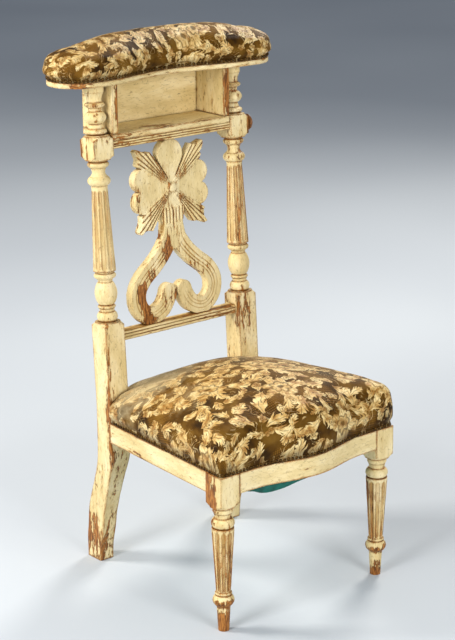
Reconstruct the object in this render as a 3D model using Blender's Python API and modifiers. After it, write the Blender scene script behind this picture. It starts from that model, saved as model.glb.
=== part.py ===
# Prie dieu chair: a low upholstered seat on turned front legs, a raked back with a carved splat,
# and an open box under a padded arm board.
# Metres: +Z up, +Y to the back, +X to the right as seen from the front.

import math

import bmesh
import bpy
from mathutils import Matrix, Vector

# Clearances and finish
GAP = 0.0003
OVERRUN = 0.004
MERGE = 0.00001
FLAT = math.radians(0.4)
TURNING_STEPS = 16
ARRIS = 0.0012

# Seat frame
RAIL_LOW = 0.258
RAIL_HEIGHT = 0.060
RAIL_THICK = 0.024
NAIL_LINE = 0.300
REBATE = 0.003
FACE_SETBACK = 0.0006
FRONT_HALF_WIDTH = 0.185
FRONT_BOW = 0.0215
FRONT_BOW_REACH = 0.128
FRONT_CAMBER = 0.0012
TENON_LENGTH = 0.013
TENON_THICK = 0.009
TENON_SHOULDER = 0.009

# Front legs
LEG_HALF = 0.0214
BLOCK_LOW = 0.2345
LEG_FLUTE_WIDTH = 0.0065
LEG_FLUTE_COUNT = 10

# Rear posts: one piece each from foot to arm board
POST_HALF = 0.022
POST_HALF_WIDTH = 0.159
SEAT_LINE_Y = 0.3516
SEAT_LINE_Z = 0.333
RAKE = math.radians(3.33)
FOOT_RAKE = 0.051
FOOT_HALF_X = 0.016
FOOT_HALF_Y = 0.0205
KNEE_HALF_Y = 0.0265
STILE_TOP = 0.150
POST_BLOCK_LOW = 0.4498
POST_BLOCK_HEIGHT = 0.044
SHOULDER = 0.010
POST_FLUTE_WIDTH = 0.0068
POST_FLUTE_COUNT = 10
SPIGOT_RADIUS = 0.008
SPIGOT_LENGTH = 0.008

# Rail and splat of the back, measured up the raked posts from the seat line
LOWER_RAIL_UP = 0.1095
REEDED_HEIGHT = 0.0165
LOWER_RAIL_DEPTH = 0.021
REED_COUNT = 3
SHORT_TENON = 0.008
MORTISE_MARGIN_SHARE = 0.25

# Level head of the back: shelf, open box and arm board, measured from the seat line and the head's centre
SHELF_RAIL_UP = 0.468
SHELF_RAIL_HEIGHT = 0.0135
SHELF_RAIL_DEPTH = 0.031
SHELF_THICK = 0.0125
SHELF_FRONT = 0.0258
BOX_FRONT = 0.0248
BOX_BACK = 0.0672
BOX_SIDE_THICK = 0.0135
BOX_BACK_THICK = 0.0095
BOX_HEIGHT = 0.0930

# Carved splat
SPLAT_THICK = 0.018
ROSETTE_DROP = 0.091
PETAL_RADIUS = 0.0225
PETAL_REACH = 0.064
PETAL_SPLIT = 0.0205
TOP_PETAL_RADIUS = 0.029
PETAL_SINK = 0.002
RAY_LENGTH = 0.110
STEM_HALF = 0.0265
SCROLL_HALF = 0.017
SCROLL_REACH = 0.091
SCROLL_FLAT = 0.0015
SPLAT_GROOVE = 0.0017
HUB_RADIUS = 0.012
KNOB_HALF = 0.0085
KNOB_RISE = 0.003
SPLAT_TENON_HALF = 0.014
SPLAT_TENON_THICK = 0.008
SPLAT_TENON_LENGTH = 0.006

# Arm board and its pad
BOARD_HALF_LENGTH = 0.2430
BOARD_FRONT = 0.0483
BOARD_BACK = 0.0632
BOARD_HOLLOW = 0.0270
BOARD_HOLLOW_REACH = 0.170
BOARD_CAMBER = 0.0008
BOARD_THICK = 0.020
BOARD_LIP = 0.0095
PAD_OVERHANG = 0.006
PAD_SIDE = 0.0400
PAD_CROWN = 0.0300
PAD_SHOULDER = 0.0150

# Seat upholstery
COVER_THICK = 0.0018
COVER_BULGE = 0.003
SEAT_FRONT_SIDE = 0.078
SEAT_BACK_SIDE = 0.041
SEAT_CROWN = 0.050
SEAT_SHOULDER = 0.025
SEAT_SHOULDER_SHARE = 0.35
SEAT_CORNER = 0.012
SEAT_SHOULDER_CORNER = 0.034
HESSIAN_THICK = 0.0016
SPRING_WIRE = 0.0034
SPRING_RADIUS = 0.030
SPRING_WAIST = 0.021
SPRING_TURNS = 4
SPRING_STEPS = 8
WEB_WIDTH = 0.050
WEB_THICK = 0.002
WEB_WAVE = 0.0013
WEB_INSET = 0.009
DUST_THICK = 0.0012
DUST_SAG = 0.038
DUST_INSET = 0.004
POST_NOTCH = 0.0015

# Small pieces
NAIL_RADIUS = 0.0046
BRACE_THICK = 0.016
BRACE_HEIGHT = 0.022
BRACE_REACH = 0.076
BOSS_RADIUS = 0.0155
BOSS_NECK = 0.008
BOSS_REACH = 0.025
BOSS_SPIGOT = 0.010
BOSS_FORWARD = 0.004

# Turned work: kind, length in parts, start radius and end or peak radius in hundredths of the square's half
LEG_TURNING_SHARES = (
    ("bead", 12, 72, 85),
    ("cove", 9, 75, 67),
    ("bead", 18, 72, 97),
    ("line", 3, 92, 94),
    ("line", 117, 94, 61),
    ("bead", 6, 62, 70),
    ("bead", 20, 62, 83),
    ("cove", 4, 66, 57),
    ("line", 44, 57, 46),
)
COLUMN_TURNING_SHARES = (
    ("bead", 11, 70, 90),
    ("cove", 9, 66, 54),
    ("flare", 7, 54, 72),
    ("bead", 16, 72, 96),
    ("line", 6, 70, 67),
    ("line", 149, 67, 95),
    ("line", 3, 80, 78),
    ("bead", 11, 74, 93),
    ("cove", 6, 68, 60),
    ("bead", 42, 61, 95),
    ("bead", 7, 62, 76),
    ("cove", 6, 66, 62),
    ("bead", 18, 66, 87),
)
TOP_TURNING_SHARES = (
    ("line", 15, 82, 79),
    ("cove", 13, 79, 63),
    ("line", 5, 63, 63),
    ("bead", 9, 63, 76),
    ("cove", 7, 60, 57),
    ("bead", 22, 57, 84),
    ("line", 9, 61, 70),
    ("bead", 10, 70, 84),
)
# Rear leg below the seat line: height share, centre set back as a share of the rake, half depth share
LEG_CURVE_SHARES = (
    (0.00, 1.00, 0.00),
    (0.11, 0.97, 0.35),
    (0.20, 0.86, 0.65),
    (0.30, 0.76, 0.85),
    (0.39, 0.57, 0.92),
    (0.50, 0.28, 0.95),
    (0.61, 0.02, 1.00),
    (0.69, -0.07, 0.95),
    (0.77, -0.01, 0.06),
)
# Scroll of the splat, right half: across as a share of its reach, down as a share of the scroll's height
SCROLL_SHARES = (
    (0.13, 0.00),
    (0.15, 0.13),
    (0.28, 0.25),
    (0.53, 0.39),
    (0.78, 0.50),
    (0.94, 0.61),
    (1.00, 0.73),
    (0.94, 0.86),
    (0.77, 0.95),
    (0.57, 0.960),
    (0.36, 0.90),
    (0.235, 0.80),
    (0.190, 0.73),
)
SCROLL_TOP_SHARE = 0.505
NECK_SHARE = 0.535
CROTCH_SHARE = 0.385
FOOT_SHARE = 0.62
# Ray bundle: along and across as shares of the ray's length
RAY_SHARES = (
    (0.04, -0.04),
    (0.76, -0.165),
    (0.84, -0.085),
    (0.99, -0.030),
    (1.00, 0.025),
    (0.86, 0.085),
    (0.80, 0.175),
    (0.04, 0.04),
)
RAY_GROOVE_SHARES = (-0.075, -0.024, 0.024, 0.075)
STEM_GROOVE_SHARES = (-0.60, -0.20, 0.20, 0.60)
SCROLL_GROOVE_SHARES = (-0.30, 0.25)
SPRING_PLACE_SHARES = ((-0.42, 0.22), (0.42, 0.22), (0.0, 0.50), (-0.38, 0.78), (0.38, 0.78))
WEB_PLACE_SHARES = (0.22, 0.50, 0.78)
SIDE_WEB_PLACE_SHARES = (-0.42, 0.0, 0.42)
DUST_PEAK_SHARE = 0.22
DUST_SIDE_SHARE = -0.30

# Worked out sizes
RAIL_TOP = RAIL_LOW + RAIL_HEIGHT
BACK_HALF_WIDTH = POST_HALF_WIDTH + POST_HALF
SEAT_HALF_FRONT = FRONT_HALF_WIDTH + LEG_HALF - FACE_SETBACK
SEAT_HALF_BACK = BACK_HALF_WIDTH - FACE_SETBACK
SEAT_FRONT = -LEG_HALF + FACE_SETBACK
SEAT_BACK = SEAT_LINE_Y + POST_HALF - FACE_SETBACK
POST_FRONT = SEAT_LINE_Y - POST_HALF
SEAT_DEPTH = SEAT_BACK - SEAT_FRONT
CLEAR_HALF_WIDTH = POST_HALF_WIDTH - POST_HALF - GAP
SHELF_LOW = SHELF_RAIL_UP + SHELF_RAIL_HEIGHT + GAP
SHELF_TOP = SHELF_LOW + SHELF_THICK
BOARD_LOW = SHELF_TOP + GAP + BOX_HEIGHT + GAP
BOARD_TOP = BOARD_LOW + BOARD_THICK
BOARD_DEPTH = BOARD_FRONT + BOARD_BACK
BOARD_END = BOARD_DEPTH / 2
POST_BLOCK_TOP = POST_BLOCK_LOW + POST_BLOCK_HEIGHT
LOWER_RAIL_TOP = LOWER_RAIL_UP + REEDED_HEIGHT
HEAD_BACK_SET = BOARD_LOW * math.tan(RAKE)
POST_TOP = BOARD_LOW / math.cos(RAKE)
SPLAT_LOW = LOWER_RAIL_TOP + GAP
SPLAT_TOP = SHELF_RAIL_UP / math.cos(RAKE) - SPLAT_THICK / 2 * math.tan(RAKE) - GAP * 2
SPLAT_HEIGHT = SPLAT_TOP - SPLAT_LOW
ROSETTE_UP = SPLAT_TOP - ROSETTE_DROP

# Reeded rails: name, height from the seat line, thickness, reach forward of the posts' axis, depth
LOWER_RAIL = ("lower_back_rail", LOWER_RAIL_UP, REEDED_HEIGHT, LOWER_RAIL_DEPTH / 2, LOWER_RAIL_DEPTH)
SHELF_RAIL = ("shelf_rail", SHELF_RAIL_UP, SHELF_RAIL_HEIGHT, SHELF_FRONT, SHELF_RAIL_DEPTH)


# Scene

def clear_scene():
    for item in list(bpy.data.objects):
        bpy.data.objects.remove(item, do_unlink=True)


def new_collection(name):
    group = bpy.data.collections.new(name)
    bpy.context.scene.collection.children.link(group)
    return group


def material(name, colour, roughness, metallic=0.0):
    finish = bpy.data.materials.new(name)
    finish.use_nodes = True
    shader = finish.node_tree.nodes["Principled BSDF"]
    shader.inputs["Base Color"].default_value = (*colour, 1.0)
    shader.inputs["Roughness"].default_value = roughness
    shader.inputs["Metallic"].default_value = metallic
    return finish


def empty(name, parent=None, location=(0, 0, 0), tilt=0.0):
    frame = bpy.data.objects.new(name, None)
    parts.objects.link(frame)
    frame.location = location
    frame.rotation_euler.x = tilt
    frame.parent = parent
    return frame


def piece(name, mesh, frame, location=(0, 0, 0), rotation=(0, 0, 0), guide=False):
    item = bpy.data.objects.new(name, mesh)
    (cutters if guide else parts).objects.link(item)
    item.location = location
    item.rotation_euler = rotation
    item.parent = frame
    if guide:
        item.hide_render = True
        item.display_type = "WIRE"
    return item


def paint(item, finish):
    item.data.materials.clear()
    item.data.materials.append(finish)
    return item


def mesh_from(bm, name, smooth_angle=None):
    bmesh.ops.recalc_face_normals(bm, faces=bm.faces)
    mesh = bpy.data.meshes.new(name)
    bm.to_mesh(mesh)
    bm.free()
    if smooth_angle:
        mesh.shade_smooth()
        mesh.set_sharp_from_angle(angle=smooth_angle)
    return mesh


# Shapes

def box_mesh(name, low, high):
    low, high = Vector(low), Vector(high)
    bm = bmesh.new()
    size = Matrix.Diagonal((*(high - low), 1))
    bmesh.ops.create_cube(bm, size=1, matrix=Matrix.Translation((low + high) / 2) @ size)
    return mesh_from(bm, name)


def screw(item, steps=TURNING_STEPS):
    turn = item.modifiers.new("Turning", "SCREW")
    turn.steps = steps
    turn.render_steps = steps
    turn.use_merge_vertices = True
    turn.merge_threshold = MERGE
    turn.use_smooth_shade = True
    return item


def turned(name, profile, frame, location=(0, 0, 0), rotation=(0, 0, 0), guide=False, steps=TURNING_STEPS):
    bm = bmesh.new()
    points = [bm.verts.new((radius, 0, height)) for radius, height in profile]
    for upper, lower in zip(points, points[1:]):
        bm.edges.new((upper, lower))
    mesh = bpy.data.meshes.new(name)
    bm.to_mesh(mesh)
    bm.free()
    return screw(piece(name, mesh, frame, location, rotation, guide), steps)


def turned_profile(shares, top, length, half):
    parts_sum = sum(row[1] for row in shares)
    points = []
    height = top
    for kind, parts_long, start, peak in shares:
        step = length * parts_long / parts_sum
        start_radius, peak_radius = half * start / 100, half * peak / 100
        count = {"line": 1, "cove": 2, "flare": 2, "bead": 4}[kind]
        if kind == "bead" and parts_long > 16:
            count = 7 if parts_long > 30 else 5
        for index in range(count + 1):
            share = index / count
            curve = {
                "line": share,
                "cove": math.sin(share * math.pi / 2),
                "flare": 1 - math.cos(share * math.pi / 2),
                "bead": math.sin(share * math.pi) ** 0.8 if 0 < share < 1 else 0,
            }[kind]
            points.append((start_radius + (peak_radius - start_radius) * curve, height - step * share))
        height -= step
    return tidy_profile(points)


def tidy_profile(points):
    kept = [points[0]]
    for point in points[1:]:
        if math.dist(point, kept[-1]) > ARRIS / 4:
            kept.append(point)
    return kept


def straightened(points):
    kept = []
    for index, point in enumerate(points):
        arrive = Vector(point) - Vector(points[index - 1])
        leave = Vector(points[(index + 1) % len(points)]) - Vector(point)
        if arrive.length > MERGE and arrive.angle(leave, 0) > FLAT:
            kept.append(point)
    return kept


def plate(name, points, low, high, frame, location=(0, 0, 0), rotation=(0, 0, 0), guide=False):
    points = straightened(points)
    curve = bpy.data.curves.new(name, "CURVE")
    curve.dimensions = "2D"
    curve.fill_mode = "BOTH"
    curve.extrude = (high - low) / 2
    spline = curve.splines.new("POLY")
    spline.points.add(len(points) - 1)
    for target, point in zip(spline.points, points):
        target.co = (*point, 0, 1)
    spline.use_cyclic_u = True
    item = solid_of(piece(name, curve, frame, location, rotation, guide), guide)
    for vertex in item.data.vertices:
        vertex.co.z = high if vertex.co.z > 0 else low
    return item


def solid_of(source, guide):
    name, frame = source.name, source.parent
    place, turn = source.location.copy(), source.rotation_euler.copy()
    mesh = evaluated_mesh(source)
    mesh.name = name
    bpy.data.objects.remove(source, do_unlink=True)
    return piece(name, mesh, frame, place, turn, guide)


def evaluated_mesh(item):
    bpy.context.view_layer.update()
    evaluated = item.evaluated_get(bpy.context.evaluated_depsgraph_get())
    mesh = bpy.data.meshes.new_from_object(evaluated)
    bm = bmesh.new()
    bm.from_mesh(mesh)
    bmesh.ops.remove_doubles(bm, verts=bm.verts, dist=MERGE)
    bmesh.ops.recalc_face_normals(bm, faces=bm.faces)
    bm.to_mesh(mesh)
    bm.free()
    return mesh


def tube(name, points, radius, frame, guide=False):
    curve = bpy.data.curves.new(name, "CURVE")
    curve.dimensions = "3D"
    curve.bevel_depth = radius
    curve.bevel_resolution = 0
    curve.use_fill_caps = True
    spline = curve.splines.new("POLY")
    spline.points.add(len(points) - 1)
    for target, point in zip(spline.points, points):
        target.co = (*point, 1)
    return solid_of(piece(name, curve, frame, guide=guide), guide)


def loft_mesh(name, rings, closed_top=True, closed_low=True, smooth_angle=None):
    bm = bmesh.new()
    loops = [[bm.verts.new(point) for point in ring] for ring in rings]
    count = len(loops[0])
    for lower, upper in zip(loops, loops[1:]):
        for index in range(count):
            after = (index + 1) % count
            bm.faces.new((lower[index], lower[after], upper[after], upper[index]))
    if closed_low:
        bm.faces.new(list(reversed(loops[0])))
    if closed_top:
        bm.faces.new(loops[-1])
    bmesh.ops.remove_doubles(bm, verts=bm.verts, dist=MERGE)
    bmesh.ops.dissolve_degenerate(bm, edges=bm.edges, dist=MERGE)
    return mesh_from(bm, name, smooth_angle)


def combine(item, other, kind):
    step = item.modifiers.new(kind.title(), "BOOLEAN")
    step.operation = kind
    step.solver = "EXACT"
    step.object = other
    return item


def combine_group(item, others, kind):
    group = bpy.data.collections.new(item.name + "_" + kind.lower())
    cutters.children.link(group)
    for other in others:
        cutters.objects.unlink(other)
        group.objects.link(other)
    step = item.modifiers.new(kind.title(), "BOOLEAN")
    step.operation = kind
    step.solver = "EXACT"
    step.operand_type = "COLLECTION"
    step.collection = group
    return item


def soften(item, width=ARRIS, angle=math.radians(50)):
    edge = item.modifiers.new("Arris", "BEVEL")
    edge.width = width
    edge.segments = 1
    edge.limit_method = "ANGLE"
    edge.angle_limit = angle
    edge.use_clamp_overlap = True
    return item


def cut_box(item, name, low, high, frame):
    return combine(item, piece(name, box_mesh(name, low, high), frame, guide=True), "DIFFERENCE")


def add_box(item, name, low, high, frame):
    return combine(item, piece(name, box_mesh(name, low, high), frame, guide=True), "UNION")


def grown(low, high, by):
    return [value - by for value in low], [value + by for value in high]


# Seat plan shared by the rails, the cover, the stuffing and the cloth

def bow(x):
    serpentine = FRONT_BOW * math.cos(math.pi / 2 * min(abs(x) / FRONT_BOW_REACH, 1)) ** 2
    return serpentine + FRONT_CAMBER * (1 - abs(x) / SEAT_HALF_FRONT)


def seat_half(y):
    share = (y - SEAT_FRONT) / SEAT_DEPTH
    return SEAT_HALF_FRONT + (SEAT_HALF_BACK - SEAT_HALF_FRONT) * share


def seat_plan(outward=0.0, corner=SEAT_CORNER, front_count=12, side_count=5, corner_count=4):
    half_front, half_back = SEAT_HALF_FRONT + outward, SEAT_HALF_BACK + outward
    front, back = SEAT_FRONT - outward, SEAT_BACK + outward
    right = []
    for index in range(front_count // 2 + 1):
        x = (half_front - corner) * index / (front_count / 2)
        right.append((x, front - bow(x)))
    for index in range(1, corner_count):
        turn = math.pi / 2 * index / corner_count
        right.append((half_front - corner + corner * math.sin(turn), front + corner * (1 - math.cos(turn))))
    for index in range(side_count + 1):
        share = index / side_count
        y = (front + corner) * (1 - share) + (back - corner) * share
        right.append((half_front + (half_back - half_front) * share, y))
    for index in range(1, corner_count):
        turn = math.pi / 2 * index / corner_count
        right.append((half_back - corner * (1 - math.cos(turn)), back - corner * (1 - math.sin(turn))))
    for index in range(front_count // 2 + 1):
        right.append(((half_back - corner) * (1 - index / (front_count / 2)), back))
    left = [(-x, y) for x, y in reversed(right[1:-1])]
    return right + left


def seat_side_height(y):
    share = min(max((y - SEAT_FRONT) / SEAT_DEPTH, 0), 1)
    return SEAT_FRONT_SIDE + (SEAT_BACK_SIDE - SEAT_FRONT_SIDE) * share


def seat_rings(inside, low):
    centre = (0, SEAT_FRONT + SEAT_DEPTH / 2)
    foot = -REBATE + GAP + COVER_THICK
    skirt = seat_plan(foot - inside)
    rings = [[(x, y, low) for x, y in skirt]]
    rings.append([(x, y, max(NAIL_LINE + NAIL_RADIUS, low + GAP)) for x, y in skirt])
    for index in range(3):
        turn = math.pi / 2 * index / 3
        pull = SEAT_SHOULDER * (1 - math.cos(turn))
        corner = SEAT_CORNER + (SEAT_SHOULDER_CORNER - SEAT_CORNER) * (index + 1) / 3
        ring = []
        for x, y in seat_plan(COVER_BULGE - pull - inside, corner):
            side_height = seat_side_height(y)
            height = NAIL_LINE + side_height * (1 - SEAT_SHOULDER_SHARE * (1 - math.sin(turn))) - inside
            ring.append((x, y, height))
        rings.append(ring)
    edge = seat_plan(COVER_BULGE - SEAT_SHOULDER - inside, SEAT_SHOULDER_CORNER)
    for share in (0.0, 0.18, 0.42, 0.72):
        ring = []
        for x, y in edge:
            px, py = x + (centre[0] - x) * share, y + (centre[1] - y) * share
            crown = SEAT_CROWN * (1 - (1 - share) ** 2.6)
            ring.append((px, py, NAIL_LINE + seat_side_height(py) + crown - inside))
        rings.append(ring)
    top = NAIL_LINE + seat_side_height(centre[1]) + SEAT_CROWN - inside
    rings.append([(*centre, top)] * len(edge))
    return rings


# Arm board plan: kidney outline with round ends and a hollow front

def hollow(x):
    wave = BOARD_HOLLOW * math.cos(math.pi / 2 * min(abs(x) / BOARD_HOLLOW_REACH, 1)) ** 2
    return wave + BOARD_CAMBER * (1 - abs(x) / BOARD_HALF_LENGTH)


def board_plan(outward=0.0, straight_count=12, end_count=7):
    reach = BOARD_HALF_LENGTH - BOARD_END
    middle = (BOARD_BACK - BOARD_FRONT) / 2
    radius = BOARD_END + outward
    points = []
    for index in range(straight_count + 1):
        x = reach * (2 * index / straight_count - 1)
        points.append((x, hollow(x) - BOARD_FRONT - outward))
    for index in range(1, end_count):
        turn = math.pi * index / end_count - math.pi / 2
        points.append((reach + radius * math.cos(turn), middle + radius * math.sin(turn)))
    for index in range(straight_count + 1):
        x = reach * (1 - 2 * index / straight_count)
        points.append((x, BOARD_BACK + outward))
    for index in range(1, end_count):
        turn = math.pi / 2 + math.pi * index / end_count
        points.append((-reach + radius * math.cos(turn), middle + radius * math.sin(turn)))
    return points


def pad_rings(inside, low):
    reach = BOARD_HALF_LENGTH - BOARD_END
    foot = -REBATE + GAP + COVER_THICK
    base = BOARD_TOP + GAP
    rings = [
        [(x, y, low) for x, y in board_plan(foot - inside)],
        [(x, y, max(base, low + ARRIS)) for x, y in board_plan(foot - inside)],
    ]
    side_top = BOARD_LOW + BOARD_LIP + PAD_SIDE
    for index in range(3):
        turn = math.pi / 2 * index / 3
        pull = PAD_SHOULDER * (1 - math.cos(turn))
        height = side_top - PAD_SHOULDER * (1 - math.sin(turn)) - inside
        rings.append([(x, y, height) for x, y in board_plan(PAD_OVERHANG - pull - inside)])
    edge = board_plan(PAD_OVERHANG - PAD_SHOULDER - inside)
    for share in (0.0, 0.25, 0.55, 1.0):
        ring = []
        for x, y in edge:
            middle_x = min(max(x, -reach), reach)
            middle_y = (hollow(middle_x) - BOARD_FRONT + BOARD_BACK) / 2
            px, py = x + (middle_x - x) * share, y + (middle_y - y) * share
            along = 1 - (abs(px) / BOARD_HALF_LENGTH) ** 4
            crown = PAD_CROWN * (1 - (1 - share) ** 2) * along
            ring.append((px, py, side_top + crown - inside))
        rings.append(ring)
    return rings


# Frame pieces

def build_front_leg(name, side):
    x = side * FRONT_HALF_WIDTH
    low, high = (-LEG_HALF, -LEG_HALF, 0), (LEG_HALF, LEG_HALF, RAIL_TOP)
    leg = piece(name, box_mesh(name, low, high), chair, (x, 0, 0))
    soften(leg)
    big = LEG_HALF * 1.6
    profile = [(0, RAIL_TOP + OVERRUN), (big, RAIL_TOP + OVERRUN), (big, BLOCK_LOW + SHOULDER / 2)]
    profile.append((LEG_HALF * 1.15, BLOCK_LOW + SHOULDER / 4))
    profile.append((LEG_HALF * 0.95, BLOCK_LOW))
    turning = turned_profile(LEG_TURNING_SHARES, BLOCK_LOW, BLOCK_LOW, LEG_HALF)
    profile += turning[:-1] + [(turning[-1][0], -OVERRUN), (0, -OVERRUN)]
    combine(leg, turned(name + "_turning", profile, leg, guide=True), "INTERSECT")
    flute_cut(leg, LEG_TURNING_SHARES, 4, BLOCK_LOW, BLOCK_LOW, LEG_HALF, LEG_FLUTE_WIDTH, LEG_FLUTE_COUNT)
    inner = -side
    tenon_low, tenon_high = RAIL_LOW + TENON_SHOULDER, RAIL_TOP - TENON_SHOULDER
    depth = TENON_LENGTH + GAP
    reach = inner * (LEG_HALF - depth)
    front = ordered((inner * LEG_HALF, -TENON_THICK, tenon_low), (reach, 0, tenon_high))
    cut_box(leg, name + "_front_mortise", *pocket(*front, axis=0, way=inner), leg)
    thick = TENON_THICK / 2
    back = ordered((-side * thick, LEG_HALF, tenon_low), (side * thick, LEG_HALF - depth, tenon_high))
    cut_box(leg, name + "_side_mortise", *pocket(*back, axis=1, way=1), leg)
    combine(leg, rebate_cutter, "DIFFERENCE")
    return leg


def ordered(one, two):
    return [min(a, b) for a, b in zip(one, two)], [max(a, b) for a, b in zip(one, two)]


def pocket(low, high, axis, way):
    low, high = grown(low, high, GAP)
    if way > 0:
        high[axis] += OVERRUN
    else:
        low[axis] -= OVERRUN
    return low, high


def flute_cut(item, shares, row, top, length, half, width, count):
    parts_sum = sum(entry[1] for entry in shares)
    above = sum(entry[1] for entry in shares[:row])
    start = top - length * above / parts_sum
    run = length * shares[row][1] / parts_sum
    radius_top, radius_low = half * shares[row][2] / 100, half * shares[row][3] / 100
    end = width
    flutes = bmesh.new()
    for index in range(count):
        share_in = (end / run, 1 - end / run)
        centre = [
            (radius_top + (radius_low - radius_top) * share, start - run * share) for share in share_in
        ]
        slim = [width / 2 * min(radius / max(radius_top, radius_low), 1) for radius, height in centre]
        rings = []
        steps = ((0, -end * 0.6, 0.15), (0, 0, 1), (1, 0, 1), (1, end * 0.6, 0.15))
        for which, beyond, swell in steps:
            radius, height = centre[which]
            ring = []
            for corner in range(6):
                turn = math.pi * 2 * corner / 6
                ring.append((
                    radius + slim[which] * swell * 0.75 * math.cos(turn),
                    slim[which] * swell * math.sin(turn),
                    height - beyond,
                ))
            rings.append(ring)
        turn = Matrix.Rotation(math.pi * 2 * (index + 0.5) / count, 4, "Z")
        loops = [[flutes.verts.new(turn @ Vector(point)) for point in ring] for ring in rings]
        for upper, lower in zip(loops, loops[1:]):
            for corner in range(6):
                after = (corner + 1) % 6
                flutes.faces.new((upper[corner], upper[after], lower[after], lower[corner]))
        flutes.faces.new(list(reversed(loops[0])))
        flutes.faces.new(loops[-1])
    mesh = mesh_from(flutes, item.name + "_flutes")
    combine(item, piece(item.name + "_flutes", mesh, item, guide=True), "DIFFERENCE")


def build_rear_post(name, side):
    x = side * POST_HALF_WIDTH
    lean = math.tan(RAKE)
    rings = []
    for height, set_back, swell in LEG_CURVE_SHARES:
        z = SEAT_LINE_Z * height
        half_x = FOOT_HALF_X + (POST_HALF - FOOT_HALF_X) * min(height / LEG_CURVE_SHARES[7][0], 1)
        base = FOOT_HALF_Y if height < LEG_CURVE_SHARES[6][0] else POST_HALF
        half_y = base + (KNEE_HALF_Y - base) * swell
        y = SEAT_LINE_Y + FOOT_RAKE * set_back
        rings.append(square_ring(half_x, half_y, y, z))
    for z in (SEAT_LINE_Z, SEAT_LINE_Z + BOARD_LOW + SPIGOT_LENGTH + OVERRUN):
        y = SEAT_LINE_Y + lean * (z - SEAT_LINE_Z)
        rings.append(square_ring(POST_HALF, POST_HALF / math.cos(RAKE), y, z))
    post = piece(name, loft_mesh(name, rings), chair, (x, 0, 0))
    soften(post)
    clear = FOOT_RAKE + POST_HALF * 3
    big = POST_HALF * 1.6
    full = POST_TOP + POST_HALF * math.tan(RAKE)
    block_top, block_low = POST_BLOCK_TOP, POST_BLOCK_LOW
    tip = POST_TOP + SPIGOT_LENGTH - GAP
    profile = [(0, tip), (SPIGOT_RADIUS, tip), (SPIGOT_RADIUS, full)]
    profile += turned_profile(TOP_TURNING_SHARES, full, full - block_top - SHOULDER / 4, POST_HALF)
    profile += [(POST_HALF * 1.1, block_top), (big, block_top - SHOULDER / 2)]
    profile += [(big, block_low + SHOULDER / 2), (POST_HALF * 1.1, block_low)]
    column_top = block_low - SHOULDER / 4
    profile += turned_profile(COLUMN_TURNING_SHARES, column_top, column_top - STILE_TOP, POST_HALF)
    profile += [(POST_HALF * 1.0, STILE_TOP - ARRIS), (POST_HALF * 1.2, STILE_TOP - SHOULDER * 0.4)]
    profile += [(big, STILE_TOP - SHOULDER * 1.1), (big, STILE_TOP - SHOULDER * 2)]
    profile.append((clear, STILE_TOP - SHOULDER * 2))
    profile += [(clear, -SEAT_LINE_Z - OVERRUN * 3), (0, -SEAT_LINE_Z - OVERRUN * 3)]
    turning = turned(name + "_turning", profile, back_frame, (x, 0, 0), guide=True)
    combine(post, turning, "INTERSECT")
    above = (POST_HALF * 2, POST_HALF * 2 + HEAD_BACK_SET, SPIGOT_LENGTH * 2)
    low = (x - above[0], -above[1], BOARD_LOW - GAP)
    high = (x + above[0], above[1], BOARD_LOW - GAP + above[2])
    shoulder = piece(name + "_shoulder", box_mesh(name + "_shoulder", low, high), head_frame, guide=True)
    keep = [(0, tip + OVERRUN), (SPIGOT_RADIUS + GAP, tip + OVERRUN)]
    keep += [(SPIGOT_RADIUS + GAP, full - SPIGOT_LENGTH), (0, full - SPIGOT_LENGTH)]
    spigot = turned(name + "_spigot", keep, back_frame, (x, 0, 0), guide=True)
    combine(shoulder, spigot, "DIFFERENCE")
    combine(post, shoulder, "DIFFERENCE")
    holder = empty(name + "_axis", back_frame, (x, 0, 0))
    flutes = COLUMN_TURNING_SHARES, 5, column_top, column_top - STILE_TOP, POST_HALF
    flute_cut_in(post, holder, *flutes, POST_FLUTE_WIDTH, POST_FLUTE_COUNT)
    for rail, frame in ((LOWER_RAIL, back_frame), (SHELF_RAIL, head_frame)):
        low, high = rail_tenon(rail, side)
        cut_box(post, name + "_" + rail[0] + "_mortise", *pocket(low, high, axis=0, way=-side), frame)
    low, high = side_tenon_at_post(side)
    cut_box(post, name + "_side_mortise", *pocket(low, high, axis=1, way=-1), chair)
    low, high = back_rail_tenon(side)
    cut_box(post, name + "_back_mortise", *pocket(low, high, axis=0, way=-side), chair)
    return post


def flute_cut_in(item, holder, shares, row, top, length, half, width, count):
    marker = len(item.modifiers)
    flute_cut(item, shares, row, top, length, half, width, count)
    item.modifiers[marker].object.parent = holder


def square_ring(half_x, half_y, y, z):
    front, back = y - half_y, y + half_y
    return [(-half_x, front, z), (half_x, front, z), (half_x, back, z), (-half_x, back, z)]


def rail_tenon(rail, side):
    name, low, height, front, depth = rail
    margin = height * MORTISE_MARGIN_SHARE
    inner = side * (POST_HALF_WIDTH - POST_HALF)
    middle = depth / 2 - front
    one = (inner, middle - SHORT_TENON / 2, low + margin)
    two = (inner + side * (SHORT_TENON + GAP), middle + SHORT_TENON / 2, low + height - margin)
    return ordered(one, two)


def side_tenon_at_post(side):
    middle = side * (seat_half(POST_FRONT) - RAIL_THICK / 2)
    one = (middle - TENON_THICK / 2, POST_FRONT - GAP, RAIL_LOW + TENON_SHOULDER)
    two = (middle + TENON_THICK / 2, POST_FRONT + TENON_LENGTH + GAP, RAIL_TOP - TENON_SHOULDER)
    return ordered(one, two)


def back_rail_tenon(side):
    inner = side * (POST_HALF_WIDTH - POST_HALF)
    y = SEAT_BACK - RAIL_THICK / 2
    one = (inner, y - TENON_THICK / 2, RAIL_LOW + TENON_SHOULDER)
    two = (inner + side * (TENON_LENGTH + GAP), y + TENON_THICK / 2, RAIL_TOP - TENON_SHOULDER)
    return ordered(one, two)


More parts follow.
